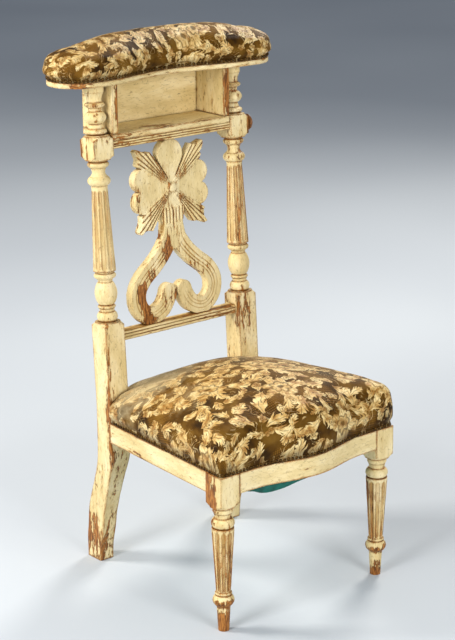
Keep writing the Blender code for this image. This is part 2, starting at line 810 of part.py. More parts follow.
def build_front_rail():
    end = FRONT_HALF_WIDTH - LEG_HALF - GAP
    count = 24
    xs = [end * (2 * index / count - 1) for index in range(count + 1)]
    outer = [(x, SEAT_FRONT - bow(x)) for x in xs]
    inner = [(x, SEAT_FRONT - bow(x) + RAIL_THICK) for x in reversed(xs)]
    rail = plate("seat_rail_front", outer + inner, RAIL_LOW, RAIL_TOP, chair)
    for side in (-1, 1):
        one = (side * (end - OVERRUN), -TENON_THICK, RAIL_LOW + TENON_SHOULDER)
        two = (side * (end + TENON_LENGTH), 0, RAIL_TOP - TENON_SHOULDER)
        add_box(rail, "front_tenon" + str(side), *ordered(one, two), chair)
    return combine(rail, rebate_cutter, "DIFFERENCE")


def build_side_rail(name, side):
    start, end = LEG_HALF + GAP, POST_FRONT - ARRIS
    plan = []
    for y, inward in ((start, 0), (end, 0), (end, RAIL_THICK), (start, RAIL_THICK)):
        plan.append((side * (seat_half(y) - inward), y))
    rail = plate(name, plan, RAIL_LOW, RAIL_TOP, chair)
    tenon_low, tenon_high = RAIL_LOW + TENON_SHOULDER, RAIL_TOP - TENON_SHOULDER
    one = (side * (FRONT_HALF_WIDTH - TENON_THICK / 2), start + OVERRUN, tenon_low)
    two = (side * (FRONT_HALF_WIDTH + TENON_THICK / 2), start - TENON_LENGTH, tenon_high)
    add_box(rail, name + "_front_tenon", *ordered(one, two), chair)
    low, high = side_tenon_at_post(side)
    low[1] = end - OVERRUN
    high[1] -= GAP
    add_box(rail, name + "_back_tenon", low, high, chair)
    return combine(rail, rebate_cutter, "DIFFERENCE")


def build_back_rail():
    low = (-CLEAR_HALF_WIDTH, SEAT_BACK - RAIL_THICK, RAIL_LOW)
    high = (CLEAR_HALF_WIDTH, SEAT_BACK, RAIL_TOP)
    rail = piece("seat_rail_back", box_mesh("seat_rail_back", low, high), chair)
    for side in (-1, 1):
        tenon_low, tenon_high = back_rail_tenon(side)
        if side > 0:
            tenon_low[0] -= OVERRUN
            tenon_high[0] -= GAP
        else:
            tenon_low[0] += GAP
            tenon_high[0] += OVERRUN
        add_box(rail, "back_tenon" + str(side), tenon_low, tenon_high, chair)
    return combine(rail, rebate_cutter, "DIFFERENCE")


def build_rebate_cutter():
    low, high = NAIL_LINE - NAIL_RADIUS, RAIL_TOP + OVERRUN
    outer = plate("rebate_ring", seat_plan(FRONT_BOW, SEAT_CORNER), low, high, chair, guide=True)
    inner = seat_plan(-REBATE, SEAT_CORNER)
    core = plate("rebate_core", inner, low - OVERRUN, high + OVERRUN, chair, guide=True)
    return combine(outer, core, "DIFFERENCE")


def build_brace(name, side, at_back):
    if at_back:
        inner_y = SEAT_BACK - RAIL_THICK - GAP
        way = -1
    else:
        inner_y = SEAT_FRONT + RAIL_THICK + GAP
        way = 1
    reach, thick = BRACE_REACH, BRACE_THICK * math.sqrt(2)
    side_y = [inner_y + way * (reach - offset) for offset in (0, thick)]
    plan = []
    for y in side_y:
        plan.append((side * (seat_half(y) - RAIL_THICK - GAP), y))
    corner_x = side * (seat_half(inner_y) - RAIL_THICK - GAP)
    plan.append((corner_x - side * (reach - thick), inner_y))
    plan.append((corner_x - side * reach, inner_y))
    low = RAIL_LOW + (RAIL_HEIGHT - BRACE_HEIGHT) / 2
    return plate(name, plan, low, low + BRACE_HEIGHT, chair)


# Back pieces

def build_reeded_rail(rail, frame):
    name, low, height, front, depth = rail
    reed = height / REED_COUNT
    profile = []
    for index in range(REED_COUNT):
        for step in range(1 if index else 0, 5):
            turn = math.pi * step / 4
            sunk = reed / 3 * (1 - math.sin(turn))
            profile.append((sunk - front, reed * (index + (1 - math.cos(turn)) / 2)))
    profile += [(depth - front, height), (depth - front, 0)]
    turn = (math.pi / 2, 0, math.pi / 2)
    item = plate(name, profile, -CLEAR_HALF_WIDTH, CLEAR_HALF_WIDTH, frame, (0, 0, low), turn)
    for side in (-1, 1):
        tenon_low, tenon_high = rail_tenon(rail, side)
        if side > 0:
            tenon_low[0] -= OVERRUN
            tenon_high[0] -= GAP
        else:
            tenon_low[0] += GAP
            tenon_high[0] += OVERRUN
        add_box(item, name + "_tenon" + str(side), tenon_low, tenon_high, frame)
    return item


# Carved splat, drawn flat with its front up and then stood in the back

def splat_tenons():
    long, half, thick = SPLAT_TENON_LENGTH, SPLAT_TENON_HALF, SPLAT_TENON_THICK / 2
    foot = SCROLL_REACH * FOOT_SHARE
    return (
        ("top", (-half, SPLAT_TOP, -thick), (half, SPLAT_TOP + long, thick)),
        ("left", (-foot - half / 2, SPLAT_LOW - long, -thick), (-foot + half / 2, SPLAT_LOW, thick)),
        ("right", (foot - half / 2, SPLAT_LOW - long, -thick), (foot + half / 2, SPLAT_LOW, thick)),
    )


def smooth_path(points, steps=2):
    path = []
    ends = [points[0]] + list(points) + [points[-1]]
    for index in range(1, len(ends) - 2):
        before, start, end, after = (Vector(point) for point in ends[index - 1:index + 3])
        for step in range(steps):
            t = step / steps
            bend = (2 * before - 5 * start + 4 * end - after) * t ** 2
            twist = (3 * start - before - 3 * end + after) * t ** 3
            path.append((2 * start + (end - before) * t + bend + twist) / 2)
    path.append(Vector(points[-1]))
    return path


def across(path, index):
    ahead = path[min(index + 1, len(path) - 1)] - path[max(index - 1, 0)]
    return Vector((ahead.y, -ahead.x)).normalized()


def scroll_path():
    top = SPLAT_LOW + SPLAT_HEIGHT * SCROLL_TOP_SHARE
    lowest = max(down for over, down in SCROLL_SHARES)
    height = (top - SPLAT_LOW - SCROLL_HALF + SCROLL_FLAT) / lowest
    return smooth_path([(SCROLL_REACH * over, top - height * down) for over, down in SCROLL_SHARES])


def scroll_outline(side):
    path = scroll_path()
    left, right = [], []
    for index, point in enumerate(path):
        lean = across(path, index) * SCROLL_HALF
        left.append(point - lean)
        right.append(point + lean)
    tip = path[-1]
    lean = right[-1] - tip
    cap = [tip + Matrix.Rotation(math.pi * step / 8, 2) @ lean for step in range(1, 8)]
    return [(side * point.x, max(point.y, SPLAT_LOW)) for point in right + cap + left[::-1]]


def splat_piece(name, points, sink=0.0):
    return plate(name, points, -SPLAT_THICK / 2, SPLAT_THICK / 2 - sink, None, guide=True)


def arc(centre, radius, start, end, count):
    points = []
    for index in range(count + 1):
        turn = start + (end - start) * index / count
        points.append((centre[0] + radius * math.cos(turn), centre[1] + radius * math.sin(turn)))
    return points


def side_petal(side):
    notch = math.asin(PETAL_SPLIT / PETAL_RADIUS)
    lean = math.asin(PETAL_RADIUS / math.hypot(PETAL_REACH, PETAL_SPLIT))
    tangent = math.pi / 2 + math.atan2(PETAL_SPLIT, PETAL_REACH) + lean
    points = [(HUB_RADIUS / 2, ROSETTE_UP)]
    points += arc((PETAL_REACH, ROSETTE_UP - PETAL_SPLIT), PETAL_RADIUS, -tangent, notch, 8)
    points += arc((PETAL_REACH, ROSETTE_UP + PETAL_SPLIT), PETAL_RADIUS, -notch, tangent, 8)[1:]
    return [(side * x, z) for x, z in points]


def top_petal():
    centre = (0, SPLAT_TOP - TOP_PETAL_RADIUS)
    lean = math.asin(TOP_PETAL_RADIUS / (centre[1] - ROSETTE_UP))
    return [(0, ROSETTE_UP + HUB_RADIUS / 2)] + arc(centre, TOP_PETAL_RADIUS, -lean, math.pi + lean, 13)


def ray_point(index, along, sideways):
    turn = Matrix.Rotation(math.radians(45 + 90 * index), 2)
    return turn @ Vector((RAY_LENGTH * along, RAY_LENGTH * sideways)) + Vector((0, ROSETTE_UP))


def stem_levels():
    head = ROSETTE_UP - PETAL_RADIUS * 2
    neck = SPLAT_LOW + SPLAT_HEIGHT * NECK_SHARE
    crotch = SPLAT_LOW + SPLAT_HEIGHT * CROTCH_SHARE
    return head, neck, crotch


def stem_outline():
    head, neck, crotch = stem_levels()
    right = [(HUB_RADIUS / 2, ROSETTE_UP)]
    right.append((STEM_HALF, head))
    right.append((STEM_HALF * 0.88, neck))
    right.append((STEM_HALF, neck - STEM_HALF))
    right.append((STEM_HALF * 0.62, crotch + STEM_HALF / 2))
    return right + [(0, crotch)] + [(-x, z) for x, z in reversed(right)]


def groove(name, points):
    front = SPLAT_THICK / 2
    return tube(name, [(x, z, front) for x, z in points], SPLAT_GROOVE, None, guide=True)


def build_splat():
    centre = (0, ROSETTE_UP)
    turn = 2 * math.pi * 15 / 16
    blank = splat_piece("splat_blank", stem_outline())
    joined = [splat_piece("splat_hub", arc(centre, HUB_RADIUS, 0, turn, 15))]
    for side, word in ((-1, "left"), (1, "right")):
        joined.append(splat_piece("scroll_" + word, scroll_outline(side)))
        joined.append(splat_piece("petal_" + word, side_petal(side), PETAL_SINK))
    joined.append(splat_piece("petal_top", top_petal(), PETAL_SINK))
    for index in range(4):
        outline = [tuple(ray_point(index, *share)) for share in RAY_SHARES]
        joined.append(splat_piece("rays_" + str(index), outline))
    knob = arc(centre, KNOB_HALF, 0, 2 * math.pi * 7 / 8, 7)
    joined.append(plate("rosette_knob", knob, 0, SPLAT_THICK / 2 + KNOB_RISE, None, guide=True))
    for label, low, high in splat_tenons():
        low, high = list(low), list(high)
        if label == "top":
            low[1] -= OVERRUN * 3
            high[1] -= GAP
        else:
            high[1] += OVERRUN * 3
            low[1] += GAP
        tenon = "splat_tenon_" + label
        joined.append(piece(tenon, box_mesh(tenon, low, high), None, guide=True))
    combine_group(blank, joined, "UNION")
    grooves = []
    for index in range(4):
        for number, share in enumerate(RAY_GROOVE_SHARES):
            start = ray_point(index, 0.16, share * 0.18)
            end = ray_point(index, 0.90 - abs(share), share)
            grooves.append(groove("ray_groove_" + str(index) + "_" + str(number), (start, end)))
    head, neck, crotch = stem_levels()
    for number, share in enumerate(STEM_GROOVE_SHARES):
        start = (STEM_HALF * share, head + STEM_HALF * (0.3 - abs(share) / 2))
        end = (STEM_HALF * share * 0.85, neck - STEM_HALF / 2)
        grooves.append(groove("stem_groove_" + str(number), (start, end)))
    path = scroll_path()
    for side in (-1, 1):
        for number, share in enumerate(SCROLL_GROOVE_SHARES):
            run = []
            for index, point in list(enumerate(path))[4:-1]:
                place = point + across(path, index) * SCROLL_HALF * share
                run.append((side * place.x, place.y))
            grooves.append(groove("scroll_groove_" + str(side) + "_" + str(number), run))
    combine_group(blank, grooves, "DIFFERENCE")
    mesh = evaluated_mesh(blank)
    mesh.name = "splat"
    return piece("splat", mesh, back_frame, (0, 0, 0), (math.pi / 2, 0, 0))


def build_shelf():
    low = (-CLEAR_HALF_WIDTH, -SHELF_FRONT, SHELF_LOW)
    high = (CLEAR_HALF_WIDTH, BOX_BACK, SHELF_TOP)
    return soften(piece("shelf_board", box_mesh("shelf_board", low, high), head_frame))


def build_box_side(name, side):
    one = (side * CLEAR_HALF_WIDTH, -BOX_FRONT, SHELF_TOP + GAP)
    two = (side * (CLEAR_HALF_WIDTH - BOX_SIDE_THICK), BOX_BACK, SHELF_TOP + GAP + BOX_HEIGHT)
    return soften(piece(name, box_mesh(name, *ordered(one, two)), head_frame))


def build_box_back():
    half = CLEAR_HALF_WIDTH - BOX_SIDE_THICK - GAP
    low = (-half, BOX_BACK - BOX_BACK_THICK, SHELF_TOP + GAP)
    high = (half, BOX_BACK, SHELF_TOP + GAP + BOX_HEIGHT)
    return piece("box_back_panel", box_mesh("box_back_panel", low, high), head_frame)


def build_arm_board():
    lip_top = BOARD_LOW + BOARD_LIP
    lip = plate("arm_board", board_plan(), BOARD_LOW, lip_top, head_frame)
    low = lip_top - OVERRUN / 2
    deck = plate("arm_board_deck", board_plan(-REBATE), low, BOARD_TOP, head_frame, guide=True)
    combine(lip, deck, "UNION")
    for side in (-1, 1):
        radius, high, low = SPIGOT_RADIUS + GAP * 2, POST_TOP + SPIGOT_LENGTH, POST_TOP - OVERRUN
        hole = [(0, high), (radius, high), (radius, low), (0, low)]
        place = (side * POST_HALF_WIDTH, 0, 0)
        socket = turned("spigot_hole" + str(side), hole, back_frame, place, guide=True)
        combine(lip, socket, "DIFFERENCE")
    return lip


def build_side_boss():
    reach, neck, radius = BOSS_REACH, BOSS_NECK, BOSS_RADIUS
    profile = [(0, reach)]
    for step in range(1, 8):
        turn = math.pi * step / 8
        bulge = reach * 0.36
        profile.append((radius * math.sin(turn) ** 0.8, reach - bulge + bulge * math.cos(turn)))
    profile += [(neck, reach * 0.22), (neck * 1.3, GAP), (BOSS_SPIGOT / 2, GAP)]
    profile += [(BOSS_SPIGOT / 2, -BOSS_SPIGOT), (0, -BOSS_SPIGOT)]
    up = POST_BLOCK_LOW + POST_BLOCK_HEIGHT * 0.55
    place = (POST_HALF_WIDTH + POST_HALF, -BOSS_FORWARD, up)
    return turned("side_boss", profile, back_frame, place, (0, math.pi / 2, 0))


def boss_hole(post):
    radius, depth = BOSS_SPIGOT / 2 + GAP, BOSS_SPIGOT + GAP
    profile = [(0, OVERRUN), (radius, OVERRUN), (radius, -depth), (0, -depth)]
    up = POST_BLOCK_LOW + POST_BLOCK_HEIGHT * 0.55
    place = (POST_HALF_WIDTH + POST_HALF, -BOSS_FORWARD, up)
    hole = turned("boss_hole", profile, back_frame, place, (0, math.pi / 2, 0), guide=True)
    combine(post, hole, "DIFFERENCE")


# Upholstery

def skin(item, thickness):
    shell = item.modifiers.new("Cloth", "SOLIDIFY")
    shell.thickness = thickness
    shell.offset = -1
    return item


def post_notches():
    notches = []
    for side in (-1, 1):
        half = POST_HALF + POST_NOTCH
        x, front = side * POST_HALF_WIDTH, POST_FRONT - POST_NOTCH - ARRIS * 2
        low = (x - half, front, RAIL_LOW - POST_HALF)
        high = (x + half + POST_HALF, SEAT_BACK + POST_HALF, NAIL_LINE + SEAT_FRONT_SIDE + SEAT_CROWN)
        if side < 0:
            low = (x - half - POST_HALF, *low[1:])
            high = (x + half, *high[1:])
        name = "post_notch" + str(side)
        notches.append(piece(name, box_mesh(name, low, high), chair, guide=True))
    return notches


def build_seat_soft(notches):
    skirt = NAIL_LINE - NAIL_RADIUS + GAP
    shell = loft_mesh("seat_cover", seat_rings(0, skirt), False, False, math.pi / 4)
    cover = skin(piece("seat_cover", shell, chair), COVER_THICK)
    low = RAIL_TOP + GAP + HESSIAN_THICK + GAP
    inside = COVER_THICK * 2 + GAP * 3
    rings = seat_rings(inside, low)
    stuffing_mesh = loft_mesh("seat_stuffing", rings[1:], closed_top=False, smooth_angle=math.pi / 4)
    stuffing = piece("seat_stuffing", stuffing_mesh, chair)
    plan = seat_plan(-REBATE - GAP - COVER_THICK)
    hessian = plate("seat_hessian", plan, RAIL_TOP + GAP, RAIL_TOP + GAP + HESSIAN_THICK, chair)
    for item in (cover, stuffing, hessian):
        for notch in notches:
            combine(item, notch, "DIFFERENCE")
    return cover, stuffing, hessian


def build_pad_soft():
    skirt = BOARD_LOW + BOARD_LIP + GAP
    shell = loft_mesh("pad_cover", pad_rings(0, skirt), False, False, math.pi / 4)
    cover = skin(piece("pad_cover", shell, head_frame), COVER_THICK)
    rings = pad_rings(COVER_THICK * 2 + GAP * 3, BOARD_TOP + GAP)
    stuffing_mesh = loft_mesh("pad_stuffing", rings[1:], closed_top=False, smooth_angle=math.pi / 4)
    stuffing = piece("pad_stuffing", stuffing_mesh, head_frame)
    return cover, stuffing


def dust_height(x, y):
    across_share = x / SEAT_HALF_FRONT
    along = min(max((y - SEAT_FRONT + bow(x)) / SEAT_DEPTH, 0), 1)
    if along < DUST_PEAK_SHARE:
        fall = math.sin(math.pi / 2 * along / DUST_PEAK_SHARE) ** 0.6
    else:
        fall = math.cos(math.pi / 2 * (along - DUST_PEAK_SHARE) / (1 - DUST_PEAK_SHARE)) ** 1.2
    if across_share < DUST_SIDE_SHARE:
        spread = (across_share - DUST_SIDE_SHARE) / (1 + DUST_SIDE_SHARE)
    else:
        spread = (across_share - DUST_SIDE_SHARE) / (1 - DUST_SIDE_SHARE)
    return DUST_SAG * fall * max(1 - abs(spread) ** 2.4, 0)


def dust_plan():
    front_end = FRONT_HALF_WIDTH - LEG_HALF - POST_NOTCH
    back_end = POST_HALF_WIDTH - POST_HALF - POST_NOTCH
    leg_back, post_front = LEG_HALF + POST_NOTCH, POST_FRONT - POST_NOTCH - (KNEE_HALF_Y - POST_HALF)
    right = []
    for index in range(9):
        x = front_end * index / 8
        right.append((x, SEAT_FRONT + DUST_INSET - bow(x)))
    right.append((front_end, leg_back))
    for index in range(7):
        y = leg_back + (post_front - leg_back) * index / 6
        right.append((seat_half(y) - DUST_INSET, y))
    right.append((back_end, post_front))
    for index in range(6):
        right.append((back_end * (1 - index / 5), SEAT_BACK - DUST_INSET))
    return right + [(-x, y) for x, y in reversed(right[1:-1])]


def build_dust_cover():
    level = RAIL_LOW - GAP * 2 - WEB_THICK
    centre = (SEAT_HALF_FRONT * DUST_SIDE_SHARE, SEAT_FRONT + SEAT_DEPTH * 0.4)
    rings = []
    for share in (0.0, 0.14, 0.28, 0.44, 0.68, 1.0):
        ring = []
        for x, y in dust_plan():
            px, py = x + (centre[0] - x) * share, y + (centre[1] - y) * share
            ring.append((px, py, level - (dust_height(px, py) if share else 0)))
        rings.append(ring)
    mesh = loft_mesh("dust_cover", rings, closed_top=False, closed_low=False, smooth_angle=math.pi / 3)
    return skin(piece("dust_cover", mesh, chair), DUST_THICK)


def strap(name, stations, width_way):
    half, thick = WEB_WIDTH / 2, WEB_THICK / 2
    rings = []
    for x, y, z in stations:
        ring = []
        for sideways, up in ((-half, -thick), (half, -thick), (half, thick), (-half, thick)):
            ring.append((x + width_way[0] * sideways, y + width_way[1] * sideways, z + up))
        rings.append(ring)
    return piece(name, loft_mesh(name, rings), chair)


def weave_stations(start, end, crossings, phase):
    stations = [(start, 0), (start + RAIL_THICK, 0)]
    for number, middle in enumerate(crossings):
        lift = WEB_WAVE * phase * (-1) ** number
        reach = WEB_WIDTH / 2 + WEB_THICK
        stations += [(middle - reach, lift), (middle + reach, lift)]
    return stations + [(end - RAIL_THICK, 0), (end, 0)]


def build_webbing():
    straps = []
    level = RAIL_LOW - GAP - WEB_THICK / 2
    columns = [SEAT_HALF_BACK * share for share in SIDE_WEB_PLACE_SHARES]
    rows = [SEAT_FRONT + SEAT_DEPTH * share for share in WEB_PLACE_SHARES]
    for number, x in enumerate(columns):
        outer_edge = abs(x) + WEB_WIDTH / 2
        start, end = SEAT_FRONT - bow(outer_edge) + WEB_INSET, SEAT_BACK - WEB_INSET
        run = weave_stations(start, end, rows, (-1) ** number)
        name = "webbing_lengthwise_" + str(number + 1)
        straps.append(strap(name, [(x, y, level + lift) for y, lift in run], (1, 0)))
    for number, y in enumerate(rows):
        end = seat_half(y + WEB_WIDTH / 2) - WEB_INSET
        run = weave_stations(-end, end, columns, -(-1) ** number)
        name = "webbing_crosswise_" + str(number + 1)
        straps.append(strap(name, [(x, y, level + lift) for x, lift in run], (0, 1)))
    return straps


def build_springs():
    springs = []
    low = RAIL_LOW - GAP + WEB_WAVE + GAP + SPRING_WIRE / 2
    high = RAIL_TOP + GAP - GAP * 2 - SPRING_WIRE / 2
    for number, (across_share, along_share) in enumerate(SPRING_PLACE_SHARES):
        x = SEAT_HALF_BACK * across_share
        y = SEAT_FRONT + SEAT_DEPTH * along_share
        points = []
        count = SPRING_TURNS * SPRING_STEPS
        for index in range(count + 1):
            share = index / count
            climb = min(max((share - 0.5 / SPRING_TURNS) / (1 - 1 / SPRING_TURNS), 0), 1)
            radius = SPRING_WAIST + (SPRING_RADIUS - SPRING_WAIST) * (2 * share - 1) ** 2
            turn = 2 * math.pi * index / SPRING_STEPS
            height = low + (high - low) * climb
            points.append((x + radius * math.cos(turn), y + radius * math.sin(turn), height))
        springs.append(tube("seat_spring_" + str(number + 1), points, SPRING_WIRE / 2, chair))
    return springs


def stand_on_floor(root):
    bpy.context.view_layer.update()
    depsgraph = bpy.context.evaluated_depsgraph_get()
    lows, highs = [], []
    for item in parts.objects:
        if item.type != "MESH":
            continue
        evaluated = item.evaluated_get(depsgraph)
        corners = [evaluated.matrix_world @ Vector(corner) for corner in evaluated.bound_box]
        lows.append(min(corner.y for corner in corners))
        highs.append(max(corner.y for corner in corners))
    root.location.y -= (min(lows) + max(highs)) / 2


clear_scene()
parts = new_collection("prie_dieu")
cutters = new_collection("cutters")
chair = empty("prie_dieu_frame")
back_frame = empty("back_frame", chair, (0, SEAT_LINE_Y, SEAT_LINE_Z), -RAKE)
head_frame = empty("head_frame", chair, (0, SEAT_LINE_Y + HEAD_BACK_SET, SEAT_LINE_Z))

cream_paint = material("cream paint", (0.72, 0.63, 0.38), 0.6)
bare_wood = material("bare walnut", (0.30, 0.13, 0.05), 0.55)
brocade = material("brocade", (0.26, 0.19, 0.07), 0.6)
horsehair = material("horsehair", (0.10, 0.08, 0.06), 0.95)
jute = material("jute", (0.36, 0.26, 0.14), 0.9)
steel = material("steel wire", (0.35, 0.34, 0.33), 0.4, 1.0)
green_cloth = material("green cambric", (0.01, 0.16, 0.13), 0.8)

rebate_cutter = build_rebate_cutter()
for side, word in ((-1, "left"), (1, "right")):
    paint(build_front_leg("front_leg_" + word, side), cream_paint)
    post = paint(build_rear_post("rear_post_" + word, side), cream_paint)
    if side > 0:
        boss_hole(post)
    paint(build_side_rail("seat_rail_" + word, side), cream_paint)
    paint(build_brace("corner_brace_front_" + word, side, False), bare_wood)
    paint(build_brace("corner_brace_back_" + word, side, True), bare_wood)
    paint(build_box_side("box_side_" + word, side), cream_paint)
paint(build_front_rail(), cream_paint)
paint(build_back_rail(), cream_paint)
lower_rail = paint(build_reeded_rail(LOWER_RAIL, back_frame), cream_paint)
shelf_rail = paint(build_reeded_rail(SHELF_RAIL, head_frame), cream_paint)
for label, low, high in splat_tenons():
    low = (low[0] - GAP, low[2] - GAP, low[1] - (OVERRUN if label == "top" else GAP))
    high = (high[0] + GAP, high[2] + GAP, high[1] + (GAP if label == "top" else OVERRUN))
    cut_box(shelf_rail if label == "top" else lower_rail, "splat_mortise_" + label, low, high, back_frame)
paint(build_splat(), cream_paint)
paint(build_shelf(), cream_paint)
paint(build_box_back(), cream_paint)
paint(build_arm_board(), cream_paint)
paint(build_side_boss(), bare_wood)
notches = post_notches()
seat_cover, seat_stuffing, seat_hessian = build_seat_soft(notches)
paint(seat_cover, brocade)
paint(seat_stuffing, horsehair)
paint(seat_hessian, jute)
pad_cover, pad_stuffing = build_pad_soft()
paint(pad_cover, brocade)
paint(pad_stuffing, horsehair)
paint(build_dust_cover(), green_cloth)
for web in build_webbing():
    paint(web, jute)
for spring in build_springs():
    paint(spring, steel)
stand_on_floor(chair)
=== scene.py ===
# Prie dieu chair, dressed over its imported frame: worn cream paint on stained wood, floral brocade,
# close rows of bronzed nails and a sagging green dust cover.
# Row frame: metres, +Z up, +Y to the back, +X to the right as seen from the front.

import math

import bpy
import numpy as np
from mathutils import Matrix, Vector


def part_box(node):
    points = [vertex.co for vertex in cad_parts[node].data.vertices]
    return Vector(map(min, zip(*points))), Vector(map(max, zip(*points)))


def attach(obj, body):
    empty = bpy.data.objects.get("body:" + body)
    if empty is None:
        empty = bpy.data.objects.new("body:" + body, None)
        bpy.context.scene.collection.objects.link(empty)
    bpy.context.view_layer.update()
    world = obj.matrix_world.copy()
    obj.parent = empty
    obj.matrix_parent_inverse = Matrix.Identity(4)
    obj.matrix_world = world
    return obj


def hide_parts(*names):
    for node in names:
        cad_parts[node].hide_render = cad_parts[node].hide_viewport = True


bl_info = {
    "name": "Prie Dieu Chair",
    "version": (1, 0, 0),
    "blender": (4, 5, 0),
    "location": "View3D > Sidebar > Prie Dieu",
    "description": "Dresses the frame of a prie dieu chair with carved, turned and upholstered pieces",
    "category": "Object",
}

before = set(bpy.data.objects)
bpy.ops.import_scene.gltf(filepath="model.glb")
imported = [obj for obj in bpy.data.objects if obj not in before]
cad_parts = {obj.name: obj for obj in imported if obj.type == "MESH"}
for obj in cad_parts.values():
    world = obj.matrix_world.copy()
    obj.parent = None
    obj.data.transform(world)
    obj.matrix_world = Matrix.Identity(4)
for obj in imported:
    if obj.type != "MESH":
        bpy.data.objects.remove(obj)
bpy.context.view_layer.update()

# Places taken from the frame
LEG_LOW, LEG_HIGH = (Vector(corner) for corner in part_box("front_leg_right"))
LEG_AXIS = (LEG_LOW + LEG_HIGH) / 2
RAIL_TOP = LEG_HIGH.z
RAIL_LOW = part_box("seat_rail_right")[0][2]
BOARD_LOW, BOARD_HIGH = (Vector(corner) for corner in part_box("arm_board"))
POST_X = (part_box("rear_post_right")[0][0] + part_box("rear_post_right")[1][0]) / 2

# Sizes shared with the frame
GAP = 0.0003
LEG_HALF = 0.0214
FACE_SETBACK = 0.0006
BLOCK_LOW = 0.2345
POST_HALF = 0.022
SEAT_LINE_Y = LEG_AXIS.y + 0.3516
SEAT_LINE_Z = 0.333
RAKE = math.radians(3.33)
STILE_TOP = 0.150
POST_BLOCK_LOW = 0.4498
POST_BLOCK_TOP = 0.4938
SHOULDER = 0.010
BOARD_LEVEL = BOARD_LOW.z - SEAT_LINE_Z
HEAD_Y = SEAT_LINE_Y + BOARD_LEVEL * math.tan(RAKE)
NAIL_LINE = 0.300
REBATE_LOW = 0.2954
NAIL_RADIUS = 0.0031
COVER_THICK = 0.0018
REBATE = 0.003
COVER_FOOT = -REBATE + GAP + COVER_THICK
SEAT_CORNER = 0.012
BOARD_LIP = 0.0095
BOARD_EDGE = BOARD_LOW.z + BOARD_LIP
BOARD_FRONT, BOARD_BACK = 0.0483, 0.0632
AROUND = 120
SEAT_HALF_FRONT = LEG_AXIS.x + LEG_HALF - FACE_SETBACK
SEAT_HALF_BACK = POST_X + POST_HALF - FACE_SETBACK
SEAT_FRONT = LEG_AXIS.y - LEG_HALF + FACE_SETBACK
SEAT_BACK = SEAT_LINE_Y + POST_HALF - FACE_SETBACK
SEAT_DEPTH = SEAT_BACK - SEAT_FRONT
SEAT_MIDDLE = SEAT_FRONT + SEAT_DEPTH / 2
POST_FRONT = SEAT_LINE_Y - POST_HALF

# Squares end in turned shoulders; their rows are wider than the square, which cuts them to its corners
PAST_CORNERS = 1.6
SHOULDER_LONG = SHOULDER * 0.75
SHOULDER_GAP = SHOULDER / 4
LINE_STEP, CURVE_STEP = 0.0022, 0.0009
FLUTES = 10
FLUTE_MARGIN = 0.002

# Turned work: kind, length in parts, start radius and end or peak radius in hundredths of the square's half
LEG_TURNING = (
    ("bead", 12, 72, 85), ("cove", 9, 75, 67), ("bead", 18, 72, 97), ("line", 3, 92, 94),
    ("line", 117, 94, 61), ("bead", 6, 62, 72), ("bead", 20, 63, 91), ("cove", 4, 66, 57),
    ("line", 44, 57, 46),
)
COLUMN_TURNING = (
    ("bead", 11, 70, 90), ("cove", 9, 66, 54), ("flare", 7, 54, 72), ("bead", 16, 72, 96),
    ("line", 6, 70, 67), ("line", 149, 67, 95), ("line", 3, 80, 78), ("bead", 11, 74, 93),
    ("cove", 6, 68, 60), ("bead", 42, 61, 95), ("bead", 7, 62, 76), ("cove", 6, 66, 62),
    ("bead", 18, 66, 87),
)
TOP_TURNING = (
    ("line", 15, 84, 81), ("cove", 13, 81, 61), ("line", 5, 61, 61), ("bead", 9, 61, 84),
    ("cove", 7, 57, 51), ("bead", 22, 51, 91), ("line", 9, 53, 63), ("bead", 10, 65, 91),
)
# Rear leg below the seat line: height share, centre set back as a share of the rake, half depth share
LEG_CURVE = (
    (0.00, 1.00, 0.00), (0.11, 0.97, 0.35), (0.20, 0.86, 0.65), (0.30, 0.76, 0.85), (0.39, 0.57, 0.92),
    (0.50, 0.28, 0.95), (0.61, 0.02, 1.00), (0.69, -0.07, 0.95), (0.77, -0.01, 0.06), (1.0, 0.0, 0.0),
)
LEG_RAKE = 0.051
# Half widths of the rear leg: across at the floor, and from front to back below its swell and at it
FOOT_HALF, SHANK_HALF, SWELL_HALF = 0.0150, 0.0205, 0.0265
# Shares of its height up to which it widens across, and at which its square begins
LEG_WIDENS, LEG_SQUARE = 0.69, 0.61
# Hollow in the front of the rear leg: depth, and height and spread as shares of the leg's height
HOLLOW_DEPTH, HOLLOW_LEVEL, HOLLOW_SPREAD = 0.0042, 0.58, 0.20

# Carved splat
SPLAT_LOW = 0.1263
SPLAT_TOP = 0.4677
SPLAT_THICK = 0.018
ROSETTE_LEVEL = SPLAT_TOP - 0.091
PETAL_RADIUS = 0.0225
PETAL_REACH = 0.064
PETAL_SPLIT = 0.0205
CROWN_RADIUS = 0.029
RAY_REACH = 0.110
SCROLL_HALF = 0.017
SCROLL_GROOVES = (-0.0068, -0.0012, 0.0058)
SPLAT_HALF = 0.115
# How far its sharp edges are taken off, in front and behind
ARRIS_FRONT, ARRIS_BACK = 0.0020, 0.0012
# Middle line of a scroll, from its head: shares of its reach across and of its drop
SCROLL_CURVE = (
    (0.13, 0.00), (0.15, 0.13), (0.28, 0.25), (0.53, 0.39), (0.78, 0.50), (0.94, 0.61), (1.00, 0.73),
    (0.94, 0.86), (0.77, 0.95), (0.57, 0.960), (0.36, 0.90), (0.235, 0.80), (0.190, 0.73),
)
# Outline of a bundle of rays: shares of its reach along and across
RAY_CURVE = (
    (0.04, -0.04), (0.76, -0.165), (0.84, -0.085), (0.99, -0.030), (1.00, 0.025), (0.86, 0.085),
    (0.80, 0.175), (0.04, 0.04),
)


# Mesh tools

def linear(code):
    channels = [int(code[index:index + 2], 16) / 255 for index in (1, 3, 5)]
    return tuple(c / 12.92 if c <= 0.04045 else ((c + 0.055) / 1.055) ** 2.4 for c in channels) + (1.0,)


def show(item, finish, body="root"):
    item.data.materials.clear()
    item.data.materials.append(finish)
    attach(item, body)
    return item


